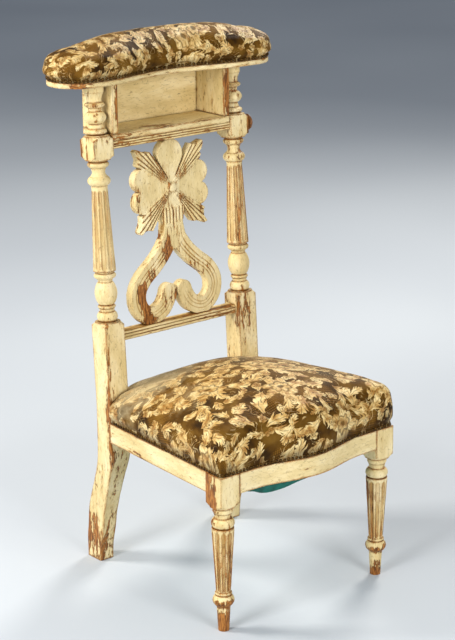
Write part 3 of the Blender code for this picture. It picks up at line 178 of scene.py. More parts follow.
def put(name, mesh):
    item = bpy.data.objects.new(name, mesh)
    bpy.context.scene.collection.objects.link(item)
    return item


def mesh_of(name, points, faces):
    mesh = bpy.data.meshes.new(name)
    mesh.from_pydata(points, [], faces)
    mesh.validate()
    mesh.update()
    return mesh


def quads(rows, count, start=0):
    """Faces between rows of points that each close in a ring, numbered from the start."""
    faces = []
    for row in range(rows - 1):
        for column in range(count):
            a, b = start + row * count + column, start + row * count + (column + 1) % count
            faces.append((a, b, b + count, a + count))
    return faces


def write_groove(mesh, depth):
    """How deep each point lies in a groove, from 0 to 1, for the dirt, painted shade and wear of the paint.
    """
    layer = mesh.attributes.new("groove", "FLOAT", "POINT")
    layer.data.foreach_set("value", np.asarray(depth, dtype=float).reshape(-1))


def loft(name, rings, groove=None, cap_first=True):
    rings = np.asarray(rings, dtype=float)
    rows, count = rings.shape[:2]
    faces = quads(rows, count)
    if cap_first:
        faces.append(tuple(range(count - 1, -1, -1)))
    faces.append(tuple(range((rows - 1) * count, rows * count)))
    mesh = mesh_of(name, rings.reshape(-1, 3).tolist(), faces)
    if groove is not None:
        write_groove(mesh, groove)
    mesh.shade_smooth()
    mesh.set_sharp_from_angle(angle=math.radians(38))
    return put(name, mesh)


def ripple(points, scale, seed=0.0):
    """Smooth, seeded waviness from a few sine waves, from -1 to 1."""
    points = np.asarray(points, dtype=float)
    total = np.zeros(points.shape[:-1])
    for index in range(5):
        turn = 1.7 + index * 2.399 + seed
        way = np.array([math.cos(turn), math.sin(turn * 1.3), math.sin(turn)]) * (1 + 0.37 * index) / scale
        total += np.sin(points @ way * 2 * math.pi + seed * 7.1 + index * 1.9) / (1 + 0.5 * index)
    return total / 3


def smoothed(points, steps, mirrored=False):
    """Points of a smooth curve through the given ones, which may run on before the first as it starts."""
    points = [np.array(point, dtype=float) for point in points]
    ends = [2 * points[0] - points[1] if mirrored else points[0]] + points + [points[-1]]
    result = []
    for index in range(1, len(ends) - 2):
        before, start, end, after = ends[index - 1:index + 3]
        for step in range(steps):
            t = step / steps
            bend = (2 * before - 5 * start + 4 * end - after) * t ** 2
            twist = (3 * start - before - 3 * end + after) * t ** 3
            result.append((2 * start + (end - before) * t + bend + twist) / 2)
    return np.array(result + [points[-1]])


# Turned work

def turned_profile(shares, top, length, half):
    parts = sum(row[1] for row in shares)
    points, height = [], top
    for kind, long, start, peak in shares:
        step = length * long / parts
        start_radius, peak_radius = half * start / 100, half * peak / 100
        count = max(2, int(step / (LINE_STEP if kind == "line" else CURVE_STEP)))
        for index in range(count + 1):
            share = index / count
            curve = {
                "line": share,
                "cove": math.sin(share * math.pi / 2),
                "flare": 1 - math.cos(share * math.pi / 2),
                "bead": math.sin(share * math.pi) ** 0.72 if 0 < share < 1 else 0,
            }[kind]
            points.append((height - step * share, start_radius + (peak_radius - start_radius) * curve))
        height -= step
    return points


def run_of(shares, row, top, length):
    parts = sum(entry[1] for entry in shares)
    start = top - length * sum(entry[1] for entry in shares[:row]) / parts
    return start, start - length * shares[row][1] / parts


def square_reach(angle, half_x, half_y, crispness=26):
    return 1 / ((np.abs(np.cos(angle)) / half_x) ** crispness
                + (np.abs(np.sin(angle)) / half_y) ** crispness) ** (1 / crispness)


def flute_cut(angle, radius, height, run, size):
    """Depth of the flutes at one height; each ends in a round where its run ends."""
    start, end = run
    end_room = min(start - height, height - end) - FLUTE_MARGIN
    if end_room <= 0:
        return np.zeros_like(angle)
    half = size.flute_width / 2 * radius / (POST_HALF * 0.9)
    reach = half if end_room >= half else math.sqrt(max(half ** 2 - (half - end_room) ** 2, 0))
    if reach < 0.0003:
        return np.zeros_like(angle)
    period = 2 * math.pi / FLUTES
    offset = (angle + period / 2) % period - period / 2
    across = radius * offset / reach
    return size.flute_depth * reach / half * np.clip(1 - across ** 2, 0, None) ** 0.6


ANGLES = 2 * math.pi * np.arange(AROUND) / AROUND


def ring_of(reach, height, x=0.0, y=0.0):
    return np.stack([x + reach * np.cos(ANGLES), y + reach * np.sin(ANGLES), np.full(AROUND, height)], axis=1)


def turned_rings(profile, half, run, size, seed):
    """Rings of a square that is turned round where the profile falls inside it, and the flutes' depth."""
    shape = square_reach(ANGLES, half, half)
    rings, groove = [], []
    for height, radius in profile:
        cut = flute_cut(ANGLES + math.pi / FLUTES, radius, height, run, size)
        reach = np.minimum(radius, shape) - cut
        wave = ripple(ring_of(reach, height) * [1, 1, 0.4], 0.016, seed)
        rings.append(ring_of(reach + 0.00018 * wave, height))
        groove.append(cut / size.flute_depth)
    return rings, groove


def leaned(points):
    """Points of the back's own plane, leaned and set on the seat line."""
    return points @ np.array(Matrix.Rotation(-RAKE, 3, "X")).T + [0, SEAT_LINE_Y, SEAT_LINE_Z]


def shoulder(block_edge, half, way):
    """Turned shoulder at the end of a square: radius falls from past the corners to the first bead."""
    points = []
    for index in range(9):
        share = index / 8
        radius = half * (1.46 - 0.40 * math.sin(share * math.pi / 2))
        points.append((block_edge + way * SHOULDER_LONG * (1 - share), radius))
    return points


def square_run(top, low, steps, half):
    """Rows of a profile that leave the square whole."""
    return [(top - (top - low) * index / steps, half * PAST_CORNERS) for index in range(1, steps + 1)]


def raked_leg(x, seed):
    """Rings of a rear leg from the seat line down: it rakes back, swells and is hollow in front."""
    rings = []
    for share, back, swell in reversed(smoothed(LEG_CURVE, 6, mirrored=True)):
        half_x = FOOT_HALF + (POST_HALF - FOOT_HALF) * min(share / LEG_WIDENS, 1) ** 2.6
        base = SHANK_HALF if share < LEG_SQUARE else POST_HALF
        slim = HOLLOW_DEPTH * math.exp(-((share - HOLLOW_LEVEL) / HOLLOW_SPREAD) ** 2)
        reach = square_reach(ANGLES, half_x, base + (SWELL_HALF - base) * swell - slim)
        ring = ring_of(reach, SEAT_LINE_Z * share, x, SEAT_LINE_Y + LEG_RAKE * back + slim)
        ring[:, 0] += 0.0002 * ripple(ring, 0.05, seed) * np.cos(ANGLES)
        rings.append(ring)
    return rings


def rear_post(name, side, size):
    """One piece from the foot to a small disc 1.2 mm high that bears the board."""
    full = BOARD_LEVEL / math.cos(RAKE) - 0.0016
    column_top = POST_BLOCK_LOW - SHOULDER_GAP
    column_length = column_top - STILE_TOP
    profile = [(full + 0.0012, 0.004)]
    profile += turned_profile(TOP_TURNING, full, full - POST_BLOCK_TOP - SHOULDER_GAP, POST_HALF)
    profile += shoulder(POST_BLOCK_TOP, POST_HALF, -1)[::-1]
    profile += square_run(POST_BLOCK_TOP - SHOULDER_LONG, POST_BLOCK_LOW + SHOULDER_LONG, 12, POST_HALF)[:-1]
    profile += shoulder(POST_BLOCK_LOW, POST_HALF, 1)
    profile += turned_profile(COLUMN_TURNING, column_top, column_length, POST_HALF)
    profile += shoulder(STILE_TOP, POST_HALF, -1)[::-1]
    profile += square_run(STILE_TOP - SHOULDER_LONG, 0.002, 39, POST_HALF)
    run = run_of(COLUMN_TURNING, 5, column_top, column_length)
    rings, groove = turned_rings(profile, POST_HALF, run, size, side + 2.0)
    leg = raked_leg(side * POST_X, side)
    rings = [leaned(ring) + [side * POST_X, 0, 0] for ring in rings] + leg
    groove += [np.zeros(AROUND)] * len(leg)
    return loft(name, rings[::-1], groove[::-1])


def front_leg(name, side, size):
    """Square block, fluted taper and turned foot."""
    profile = [(height, LEG_HALF * PAST_CORNERS) for height in (RAIL_TOP, REBATE_LOW + 0.0002, REBATE_LOW)]
    profile += square_run(REBATE_LOW, BLOCK_LOW + SHOULDER_LONG, 13, LEG_HALF)
    profile += shoulder(BLOCK_LOW, LEG_HALF, 1)
    profile += turned_profile(LEG_TURNING, BLOCK_LOW, BLOCK_LOW, LEG_HALF)
    run = run_of(LEG_TURNING, 4, BLOCK_LOW, BLOCK_LOW)
    rings, groove = turned_rings(profile, LEG_HALF, run, size, side + 5.0)
    rings = [ring + [side * LEG_AXIS.x, LEG_AXIS.y, 0] for ring in rings]
    # Rebate for the nailed edge of the seat's cover, round at the corner as the cover is
    turn = np.array([side * (SEAT_HALF_FRONT - REBATE - SEAT_CORNER), SEAT_FRONT + REBATE + SEAT_CORNER])
    for ring in rings[:2]:
        ring[:, 1] = np.maximum(ring[:, 1], SEAT_FRONT + REBATE)
        ring[:, 0] = side * np.minimum(side * ring[:, 0], SEAT_HALF_FRONT - REBATE)
        away = ring[:, :2] - turn
        beyond = (side * away[:, 0] > 0) & (away[:, 1] < 0)
        shrink = np.minimum(1, SEAT_CORNER / np.maximum(np.linalg.norm(away, axis=1), 1e-6))
        ring[beyond, :2] = turn + away[beyond] * shrink[beyond, None]
    return loft(name, rings[::-1], groove[::-1])


# Surfaces of cloth and wood built from rings and patches

def sides(count, corners):
    """Ring numbers along the low, right, high and left side of a grid between four corners given in order."""
    one, two, three, four = corners
    wide, tall = (two - one) % count, (three - two) % count
    return [[(start + way * step) % count for step in range(long + 1)]
            for start, way, long in ((one, 1, wide), (two, 1, tall), (four, -1, wide), (one, -1, tall))]


def coons(ring, corners):
    """Fills a closed ring with a grid of rows between its four corners."""
    low, right, high, left = (ring[numbers] for numbers in sides(len(ring), corners))
    u = np.linspace(0, 1, len(low))[None, :, None]
    v = np.linspace(0, 1, len(right))[:, None, None]
    blend = (1 - v) * low[None] + v * high[None] + (1 - u) * left[:, None] + u * right[:, None]
    ends = (1 - v) * ((1 - u) * low[0] + u * low[-1]) + v * ((1 - u) * high[0] + u * high[-1])
    return blend - ends


def ring_numbers(count, corners):
    """Ring number of each border point of the grid that coons makes, and -1 inside."""
    low, right, high, left = sides(count, corners)
    table = -np.ones((len(right), len(low)), dtype=int)
    table[0], table[:, -1], table[-1], table[:, 0] = low, right, high, left
    return table


def cushion_mesh(name, rings, corners, top_grid, low_grid):
    """Closed body: rings from the underside's edge up to the top's edge, and a grid at either end."""
    rows, count = rings.shape[:2]
    points = rings.reshape(-1, 3).tolist()
    faces = quads(rows, count)
    table = ring_numbers(count, corners)
    for grid, base, flip in ((low_grid, 0, True), (top_grid, (rows - 1) * count, False)):
        numbers = base + table
        for row, column in np.argwhere(table < 0):
            numbers[row, column] = len(points)
            points.append(grid[row, column].tolist())
        for row in range(table.shape[0] - 1):
            for column in range(table.shape[1] - 1):
                face = (numbers[row, column], numbers[row, column + 1],
                        numbers[row + 1, column + 1], numbers[row + 1, column])
                faces.append(face[::-1] if flip else face)
    return mesh_of(name, points, faces)


# Joinery of the head and the back

def arm_board(name):
    """Flat board with a softened lower edge and a rebate for the pad's cover above its lip."""
    low, lip, top = BOARD_LOW.z, BOARD_EDGE, BOARD_HIGH.z - 0.001
    edge, inside = 0.0016, 0.030
    rows = ((low, -inside), (low, -edge), (low + edge * 0.3, -edge * 0.3), (low + edge, 0), (lip - edge, 0),
            (lip - edge * 0.3, -edge * 0.3), (lip, -edge), (lip, -REBATE), (top, -REBATE), (top, -inside))
    return loft(name, plan_rings(lambda outward: board_plan(outward, 60, 40), rows))


def reeded_rail(name):
    """Straight rail with three reeds on its front."""
    low, high = (Vector(corner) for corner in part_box(name))
    low.x, high.x = -(POST_X - POST_HALF) + GAP, POST_X - POST_HALF - GAP
    lean = math.tan(RAKE) if name == "lower_back_rail" else 0
    tall, deep = high.z - low.z, high.y - low.y
    reed = tall / 3
    profile, groove = [], []
    for index in range(3):
        for step in range(13):
            turn = math.pi * step / 12
            sunk = reed * 0.42 * (1 - math.sin(turn) ** 0.8)
            profile.append((sunk, reed * (index + (1 - math.cos(turn)) / 2)))
            groove.append(min(sunk / (reed * 0.30), 1))
    profile += [(deep - 0.001, tall), (deep, tall - 0.001), (deep, 0.001), (deep - 0.001, 0)]
    groove += [0, 0, 0, 0]
    rings = []
    count = 90
    for index in range(count + 1):
        x = low.x + (high.x - low.x) * index / count
        wave = ripple([x, 0, low.z], 0.05, 3.0) * 0.00025
        rings.append([(x, low.y + depth + wave + lean * (height - tall / 2), low.z + height + wave)
                      for depth, height in profile])
    return loft(name, rings, [groove] * (count + 1))


def side_boss(name):
    """Turned button on a short neck, scarred by use; it stands out less far than the solid's."""
    low, high = (Vector(corner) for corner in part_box("side_boss"))
    middle = (low + high) / 2
    start, radius = POST_X + POST_HALF, (high.z - low.z) / 2
    reach = 0.62 * (high.x - start)
    neck = 0.30
    profile = [(GAP, radius * 0.30), (GAP, radius * 0.62), (reach * 0.16, radius * 0.60),
               (reach * 0.26, radius * 0.48), (reach * neck, radius * 0.50)]
    for step in range(25):
        turn = math.pi * step / 24
        along = neck + (1 - neck) * (1 - math.cos(turn)) / 2
        profile.append((reach * along, max(radius * math.sin(turn) ** 0.75, 0.0005)))
    rings = []
    for along, wide in profile:
        ring = []
        for turn in 2 * math.pi * np.arange(48) / 48:
            scar = 1 + 0.03 * ripple([along * 2, math.cos(turn) * 0.01, math.sin(turn) * 0.01], 0.012, 4.0)
            y = middle.y + wide * scar * math.cos(turn)
            ring.append((start + along, y, middle.z + wide * scar * math.sin(turn)))
        rings.append(ring[::-1])
    return loft(name, rings)


# Forms of the carved splat: places are across and up in its own leaning plane, measured from the seat line

def outline_distance(points, outline):
    """Distance of each point to a closed outline, negative inside."""
    outline = np.asarray(outline, dtype=float)
    best = np.full(len(points), 1e9)
    inside = np.zeros(len(points), dtype=bool)
    for start, end in zip(outline, np.roll(outline, -1, axis=0)):
        way = end - start
        offset = points - start
        share = np.clip(offset @ way / max(way @ way, 1e-12), 0, 1)
        best = np.minimum(best, np.linalg.norm(offset - share[:, None] * way, axis=1))
        if start[1] != end[1]:
            crosses = (start[1] > points[:, 1]) != (end[1] > points[:, 1])
            inside ^= crosses & (points[:, 0] < start[0] + (points[:, 1] - start[1]) * way[0] / way[1])
    return np.where(inside, -best, best)


def path_distance(points, path):
    """Distance of each point to a path, the same with a sign for its side, and how far along it is."""
    best, signed, mark = np.full(len(points), 1e9), np.zeros(len(points)), np.zeros(len(points))
    gone = 0.0
    for start, end in zip(path, path[1:]):
        way = end - start
        long = np.linalg.norm(way)
        offset = points - start
        share = np.clip(offset @ way / max(long ** 2, 1e-12), 0, 1)
        away = np.linalg.norm(offset - share[:, None] * way, axis=1)
        nearer = away < best
        side = np.sign(way[0] * offset[:, 1] - way[1] * offset[:, 0])
        best, signed = np.where(nearer, away, best), np.where(nearer, away * side, signed)
        mark = np.where(nearer, gone + share * long, mark)
        gone += long
    return best, signed, mark / gone


def arc(centre, radius, start, end, count=28):
    return [(centre[0] + radius * math.cos(turn), centre[1] + radius * math.sin(turn))
            for turn in np.linspace(start, end, count + 1)]


def valleys(across, pitch, depth):
    """Depth below the crowns of sharp-valleyed reeds that stand one pitch apart."""
    return -depth * (np.abs(((across / pitch) % 1) - 0.5) * 2) ** 2.4


def scroll_form(side):
    """One scroll of the heart: a strap along the curve, narrower at its head, with cut grooves that fade."""
    reach, groove = 0.091, 0.0009
    top = SPLAT_LOW + (SPLAT_TOP - SPLAT_LOW) * 0.505
    drop = (top - SPLAT_LOW - SCROLL_HALF + 0.0015) / 0.960
    path = smoothed([(reach * over, top - drop * down) for over, down in SCROLL_CURVE], 4) * [side, 1]

    def form(points):
        away, signed, mark = path_distance(points, path)
        wide = 0.68 + 0.32 * np.clip(mark / 0.10, 0, 1)
        signed = signed * side / wide
        cut = sum(np.exp(-((signed - line) / groove) ** 2) for line in SCROLL_GROOVES)
        cut = cut * np.clip(1.3 - mark, 0.5, 1) * np.clip((1 - mark) / 0.06, 0, 1)
        return away - SCROLL_HALF * wide, -groove * cut, cut
    return form


def petal_form(outline):
    """A petal that lies below the front plane and is dished away from its rim."""
    low, dish, run = 0.0012, 0.0014, 0.018

    def form(points):
        distance = outline_distance(points, outline)
        return distance, -low - dish * np.clip(-distance / run, 0, 1), np.zeros(len(points))
    return form


def ray_form(turn, reach):
    """A bundle of reeded rays that fans out from the rosette, in three steps of height."""
    along_way = np.array([math.cos(turn), math.sin(turn)])
    across_way = np.array([-math.sin(turn), math.cos(turn)])
    outline = [along_way * reach * along + across_way * reach * across + [0, ROSETTE_LEVEL]
               for along, across in RAY_CURVE]

    def form(points):
        local = points - [0, ROSETTE_LEVEL]
        along, across = local @ along_way, local @ across_way
        fan = across / np.maximum(along, 0.012)
        relief = valleys(fan + 0.02, pitch=0.088, depth=0.0034) * np.clip(along / 0.05, 0.3, 1)
        step = np.where(fan > 0.04, -0.0010, 0.0) + np.where(fan < -0.08, -0.0008, 0.0)
        cut = np.clip(-relief / 0.0030, 0, 1) ** 3 * np.clip((along - 0.015) / 0.03, 0, 1)
        return outline_distance(points, outline), relief + 0.0010 + step, cut
    return form


def stem_form():
    """The reeded stem under the rosette, forked at its foot, with a plain leaf at its head."""
    head, rise = ROSETTE_LEVEL - 0.045, SPLAT_TOP - SPLAT_LOW
    neck, crotch = SPLAT_LOW + rise * 0.535, SPLAT_LOW + rise * 0.385
    right = [(0.005, ROSETTE_LEVEL), (0.0265, head), (0.0235, neck), (0.0262, neck - 0.020),
             (0.0205, crotch + 0.016)]
    outline = right + [(0, crotch)] + [(-x, z) for x, z in reversed(right)]

    def form(points):
        x, z = points.T
        leaf = np.clip((z - head - 0.004 - 0.12 * np.abs(x)) / 0.005, 0, 1)
        spread = 1 + 0.45 * np.clip((neck - z) / 0.05, 0, 1)
        relief = valleys(x / spread, pitch=0.0076, depth=0.0025)
        relief = relief * (1 - leaf) * np.clip((z - crotch) / 0.03, 0.25, 1)
        cut = np.clip(-relief / 0.0021, 0, 1) ** 2.5
        return outline_distance(points, outline), relief - 0.0014 * leaf, cut
    return form


def knob_form(points):
    """The domed boss in the middle of the rosette."""
    radius, height = 0.0088, 0.0034
    away = (np.abs(points - [0, ROSETTE_LEVEL]) ** 2.6).sum(axis=1) ** (1 / 2.6)
    dome = height * np.sqrt(np.clip(1 - (away / radius) ** 3, 0, 1))
    return away - radius, dome, np.clip(away / radius - 0.7, 0, 1)


def splat_forms():
    forms = [scroll_form(-1), scroll_form(1), stem_form()]
    tangent = math.pi / 2 + math.atan2(PETAL_SPLIT, PETAL_REACH) + math.asin(
        PETAL_RADIUS / math.hypot(PETAL_REACH, PETAL_SPLIT))
    notch = math.asin(PETAL_SPLIT / PETAL_RADIUS)
    petal = [(0.002, ROSETTE_LEVEL)]
    petal += arc((PETAL_REACH, ROSETTE_LEVEL - PETAL_SPLIT), PETAL_RADIUS, -tangent, notch)
    petal += arc((PETAL_REACH, ROSETTE_LEVEL + PETAL_SPLIT), PETAL_RADIUS, -notch, tangent)
    forms += [petal_form([(side * x, z) for x, z in petal]) for side in (-1, 1)]
    crown = SPLAT_TOP - CROWN_RADIUS
    lean = math.asin(CROWN_RADIUS / (crown - ROSETTE_LEVEL))
    round_end = arc((0, crown), CROWN_RADIUS, -lean, math.pi + lean, 40)
    forms.append(petal_form([(0, ROSETTE_LEVEL + 0.004)] + round_end))
    for index in range(4):
        forms.append(ray_form(math.radians(45 + 90 * index), RAY_REACH))
    return forms + [knob_form]


def splat_surface(points, forms):
    """Outline distance, height above the front plane and groove of the joined forms; the highest shows."""
    outline, height, groove = np.full(len(points), 1e9), np.full(len(points), -1.0), np.zeros(len(points))
    roll = 0.0022
    for form in forms:
        distance, relief, cut = form(points)
        outline = np.minimum(outline, distance)
        edge = np.clip(1 + distance / roll, 0, 1)
        own = np.where(distance < 0, relief - roll * 0.6 * (1 - np.sqrt(1 - edge ** 2)), -1.0)
        higher = own > height
        height, groove = np.where(higher, own, height), np.where(higher, cut, groove)
    return outline, np.where(height < -0.5, -0.004, height), groove


def carved_splat(name, size):
    """Carved front, flat back and cut edges: the forms are meshed on a grid cut off where they end."""
    forms = splat_forms()
    pitch = size.carving_pitch
    across = np.arange(-SPLAT_HALF, SPLAT_HALF + pitch / 2, pitch)
    up = np.arange(SPLAT_LOW - pitch * 1.5, SPLAT_TOP + pitch * 3, pitch)
    grid = np.stack(np.meshgrid(across, up, indexing="ij"), axis=-1)
    outline = splat_surface(grid.reshape(-1, 2), forms)[0].reshape(grid.shape[:2])
    outline = np.maximum(outline, np.maximum(SPLAT_LOW - grid[..., 1], grid[..., 1] - SPLAT_TOP))
    places, numbers, faces, rim = [], {}, [], []

    def number_of(key):
        if key not in numbers:
            one, two = key
            share = 0 if one == two else min(max(outline[one] / (outline[one] - outline[two]), 0.04), 0.96)
            numbers[key] = len(places)
            places.append(grid[one] * (1 - share) + grid[two] * share)
        return numbers[key]

    for i in range(grid.shape[0] - 1):
        for j in range(grid.shape[1] - 1):
            square = ((i, j), (i + 1, j), (i + 1, j + 1), (i, j + 1))
            state = [outline[spot] < 0 for spot in square]
            if not any(state):
                continue
            face, leaving = [], []
            for step in range(4):
                here, ahead = square[step], square[(step + 1) % 4]
                if state[step]:
                    face.append(number_of((here, here)))
                if state[step] != state[(step + 1) % 4]:
                    if state[step]:
                        leaving.append(len(face))
                    face.append(number_of((min(here, ahead), max(here, ahead))))
            faces.append(face)
            rim += [(face[spot], face[(spot + 1) % len(face)]) for spot in leaving]
    places = np.array(places)
    count = len(places)
    height, groove = splat_surface(places, forms)[1:]
    half = SPLAT_THICK / 2
    front = half + height + 0.0002 * ripple(np.column_stack([places, np.zeros(count)]), 0.02, 9.0)
    back = np.full(count, half)
    on_rim = sorted({number for pair in rim for number in pair})
    front[on_rim] = np.minimum(front[on_rim], half - ARRIS_FRONT)
    back[on_rim] = half - ARRIS_BACK
    points = np.concatenate([np.column_stack([places[:, 0], -front, places[:, 1]]),
                             np.column_stack([places[:, 0], back, places[:, 1]])])
    faces += [[number + count for number in reversed(face)] for face in faces]
    faces += [(two, one, one + count, two + count) for one, two in rim]
    mesh = mesh_of(name, leaned(points).tolist(), faces)
    write_groove(mesh, np.concatenate([groove, np.zeros(count)]))
    mesh.shade_smooth()
    mesh.set_sharp_from_angle(angle=math.radians(50))
    return put(name, mesh)


# Plans shared by the board, the pad, the rails and the seat

def hollow(x):
    """How far the front of the board is drawn in at this place."""
    depth, half = 0.027, 0.170
    wave = depth * math.cos(math.pi / 2 * min(abs(x) / half, 1)) ** 2
    return wave + 0.0008 * (1 - abs(x) / BOARD_HIGH.x)


def board_plan(outward=0.0, straight_count=88, end_count=32):
    end = (BOARD_FRONT + BOARD_BACK) / 2
    reach, middle, radius = BOARD_HIGH.x + 0.0014 - end, (BOARD_BACK - BOARD_FRONT) / 2, end + outward
    front, back = [], []
    for index in range(straight_count + 1):
        x = reach * (2 * index / straight_count - 1)
        front.append((x, hollow(x) - BOARD_FRONT - outward))
        back.append((reach * (1 - 2 * index / straight_count), BOARD_BACK + outward))
    points = []
    for straight, way, first in ((front, 1, -math.pi / 2), (back, -1, math.pi / 2)):
        points += straight
        for index in range(1, end_count):
            turn = first + math.pi * index / end_count
            points.append((way * reach + radius * math.cos(turn), middle + radius * math.sin(turn)))
    return [(x, y + HEAD_Y) for x, y in points]


def plan_rings(plan, rows):
    """A ring of the plan for each row, which gives its height and then how the plan is set outward."""
    return [[(x, y, height) for x, y in plan(*shape)] for height, *shape in rows]


def bow(x):
    """How far the front of the seat swells at this place."""
    depth, half = 0.0215, 0.128
    serpentine = depth * math.cos(math.pi / 2 * min(abs(x) / half, 1)) ** 2
    return serpentine + 0.0012 * (1 - abs(x) / SEAT_HALF_FRONT)


def seat_half(y):
    return SEAT_HALF_FRONT + (SEAT_HALF_BACK - SEAT_HALF_FRONT) * (y - SEAT_FRONT) / SEAT_DEPTH


def seat_plan(outward=0.0, corner=0.012, front_count=64, side_count=56, corner_count=8):
    half_front, half_back = SEAT_HALF_FRONT + outward, SEAT_HALF_BACK + outward
    front, back = SEAT_FRONT - outward, SEAT_BACK + outward
    right = []
    for index in range(front_count // 2 + 1):
        x = (half_front - corner) * index / (front_count / 2)
        right.append((x, front - bow(x)))
    for index in range(1, corner_count):
        turn = math.pi / 2 * index / corner_count
        right.append((half_front - corner + corner * math.sin(turn), front + corner * (1 - math.cos(turn))))
    for index in range(side_count + 1):
        share = index / side_count
        y = (front + corner) * (1 - share) + (back - corner) * share
        right.append((half_front + (half_back - half_front) * share, y))
    for index in range(1, corner_count):
        turn = math.pi / 2 * index / corner_count
        right.append((half_back - corner * (1 - math.cos(turn)), back - corner * (1 - math.sin(turn))))
    for index in range(front_count // 2 + 1):
        right.append(((half_back - corner) * (1 - index / (front_count / 2)), back))
    left = [(-x, y) for x, y in reversed(right[1:-1])]
    return right + left


# Ring numbers of the corners between which the top of a cushion is filled
SEAT_CORNERS = (236, 36, 100, 172)
PAD_CORNERS = (232, 96, 112, 216)


def seat_side_height(y):
    """Rise of the seat's upright side over the nail line, higher in front than at the back."""
    front, back = 0.078, 0.041
    share = np.clip((np.asarray(y) - SEAT_FRONT) / SEAT_DEPTH, 0, 1)
    return front + (back - front) * share


def unrolled(points, centre, half, height):
    """Cloth coordinates of points on a cushion: the top as it lies, the sides laid out flat round it."""
    x, y, z = points.T
    near_x = np.clip(x, centre[0] - half[0](y), centre[0] + half[0](y))
    near_y = np.clip(y, centre[1] - half[1](x), centre[1] + half[1](x))
    way = np.stack([x - near_x, y - near_y], axis=1)
    away = np.linalg.norm(way, axis=1)
    unit = way / np.maximum(away, 1e-6)[:, None]
    fall = np.clip(height - z, 0, None) * np.clip(away / 0.004, 0, 1)
    return np.stack([near_x, near_y], axis=1) + unit * (away + fall)[:, None]


def write_cloth(mesh, flat):
    layer = mesh.uv_layers.new(name="cloth")
    corners = np.zeros(len(mesh.loops), dtype=np.int32)
    mesh.loops.foreach_get("vertex_index", corners)
    layer.data.foreach_set("uv", np.asarray(flat)[corners].reshape(-1))


def mesh_points(mesh):
    points = np.zeros(len(mesh.vertices) * 3)
    mesh.vertices.foreach_get("co", points)
    return points.reshape(-1, 3)


def set_points(mesh, points):
    mesh.vertices.foreach_set("co", np.asarray(points, dtype=float).reshape(-1))
    mesh.update()


def swelled(item, held, cap):
    """Blows the cover out as packed horsehair does, by cloth under pressure; the cap limits each point."""
    before = mesh_points(item.data)
    group = item.vertex_groups.new(name="held")
    for index in np.nonzero(held > 0)[0]:
        group.add([int(index)], float(held[index]), "REPLACE")
    step = item.modifiers.new("Swelling", "CLOTH")
    for name, value in {
        "quality": 6, "mass": 0.3, "use_pressure": True, "uniform_pressure_force": 2.2,
        "tension_stiffness": 25, "compression_stiffness": 25, "shear_stiffness": 12, "bending_stiffness": 1.5,
        "vertex_group_mass": "held", "pin_stiffness": 5,
    }.items():
        setattr(step.settings, name, value)
    step.settings.effector_weights.gravity = 0
    scene = bpy.context.scene
    frames = 16
    step.point_cache.frame_start, step.point_cache.frame_end = 1, frames
    for number in range(1, frames + 1):
        scene.frame_set(number)
    evaluated = item.evaluated_get(bpy.context.evaluated_depsgraph_get())
    after = mesh_points(evaluated.data)
    item.modifiers.remove(step)
    item.vertex_groups.remove(group)
    scene.frame_set(1)
    move = after - before
    length = np.linalg.norm(move, axis=1, keepdims=True)
    move *= np.tanh(length / cap) * cap / np.maximum(length, 1e-9)
    after = before + move
    set_points(item.data, after)
    return after


def refined(item):
    """Smooths the cushion by one subdivision."""
    item.data.shade_smooth()
    step = item.modifiers.new("Refined", "SUBSURF")
    step.levels = step.render_levels = 1
    evaluated = item.evaluated_get(bpy.context.evaluated_depsgraph_get())
    mesh = bpy.data.meshes.new_from_object(evaluated)
    item.modifiers.remove(step)
    old = item.data
    item.data = mesh
    bpy.data.meshes.remove(old)
    return item


def shouldered(outer, inner, low, top, radius, bulge, rows, steps):
    """Rings from the low height up the side and over a rounded shoulder that ends on the slope of the top."""
    outer, inner = np.asarray(outer, dtype=float), np.asarray(inner, dtype=float)
    inward = inner - outer
    inward /= np.linalg.norm(inward, axis=1, keepdims=True)
    near, far = outer + inward * radius * 0.3, outer + inward * radius
    slope = np.arctan(np.clip((top(*far.T) - top(*near.T)) / (radius * 0.7), 0, 1.2))
    for turn in range(3):
        slope = (slope + np.roll(slope, 1) + np.roll(slope, -1)) / 3
    last = math.pi / 2 - slope
    pull = radius * (1 - np.cos(last))
    end = outer + inward * pull[:, None]
    spring = top(*end.T) - radius * np.sin(last)
    rings = []
    for index in range(1, rows + 1):
        share = index / rows
        out = bulge * math.sin(share * math.pi) ** 0.8 if index < rows else 0
        place = outer - inward * out
        rings.append(np.column_stack([place, low + (spring - low) * share]))
    for index in range(1, steps + 1):
        turn = last * index / steps
        place = outer + inward * (radius * (1 - np.cos(turn)))[:, None]
        rings.append(np.column_stack([place, spring + radius * np.sin(turn)]))
    return rings


def cushion(name, rings, corners, top, pinned, fade, swell):
    """Closes a skirt of rings with its crowned top and its underside, and swells it. The cover is free above
    the pinned level, and wholly held one fade below it."""
    rings = np.asarray(rings, dtype=float)
    grid = coons(rings[-1], corners)
    grid[1:-1, 1:-1, 2] = top(grid[1:-1, 1:-1, 0], grid[1:-1, 1:-1, 1])
    item = put(name, cushion_mesh(name, rings, corners, grid, coons(rings[0], corners)))
    held = np.clip((pinned - mesh_points(item.data)[:, 2]) / fade, 0, 1)
    return item, swelled(item, held, swell)


def pushed(points, way, reach):
    """Points moved by a reach along a way that is made one long."""
    return points + way / np.maximum(np.linalg.norm(way, axis=1, keepdims=True), 1e-6) * reach[:, None]


def seat_top(size):
    def height(x, y):
        bowed = np.vectorize(bow)(x) * (y < SEAT_MIDDLE)
        u = np.clip(np.abs(x) / (np.vectorize(seat_half)(y) + 0.003), 0, 1)
        v = np.clip(np.abs(y - SEAT_MIDDLE) / (SEAT_DEPTH / 2 + 0.003 + bowed), 0, 1)
        return NAIL_LINE + seat_side_height(y) + size.seat_crown * (1 - u ** 1.8) * (1 - v ** 2.1)
    return height


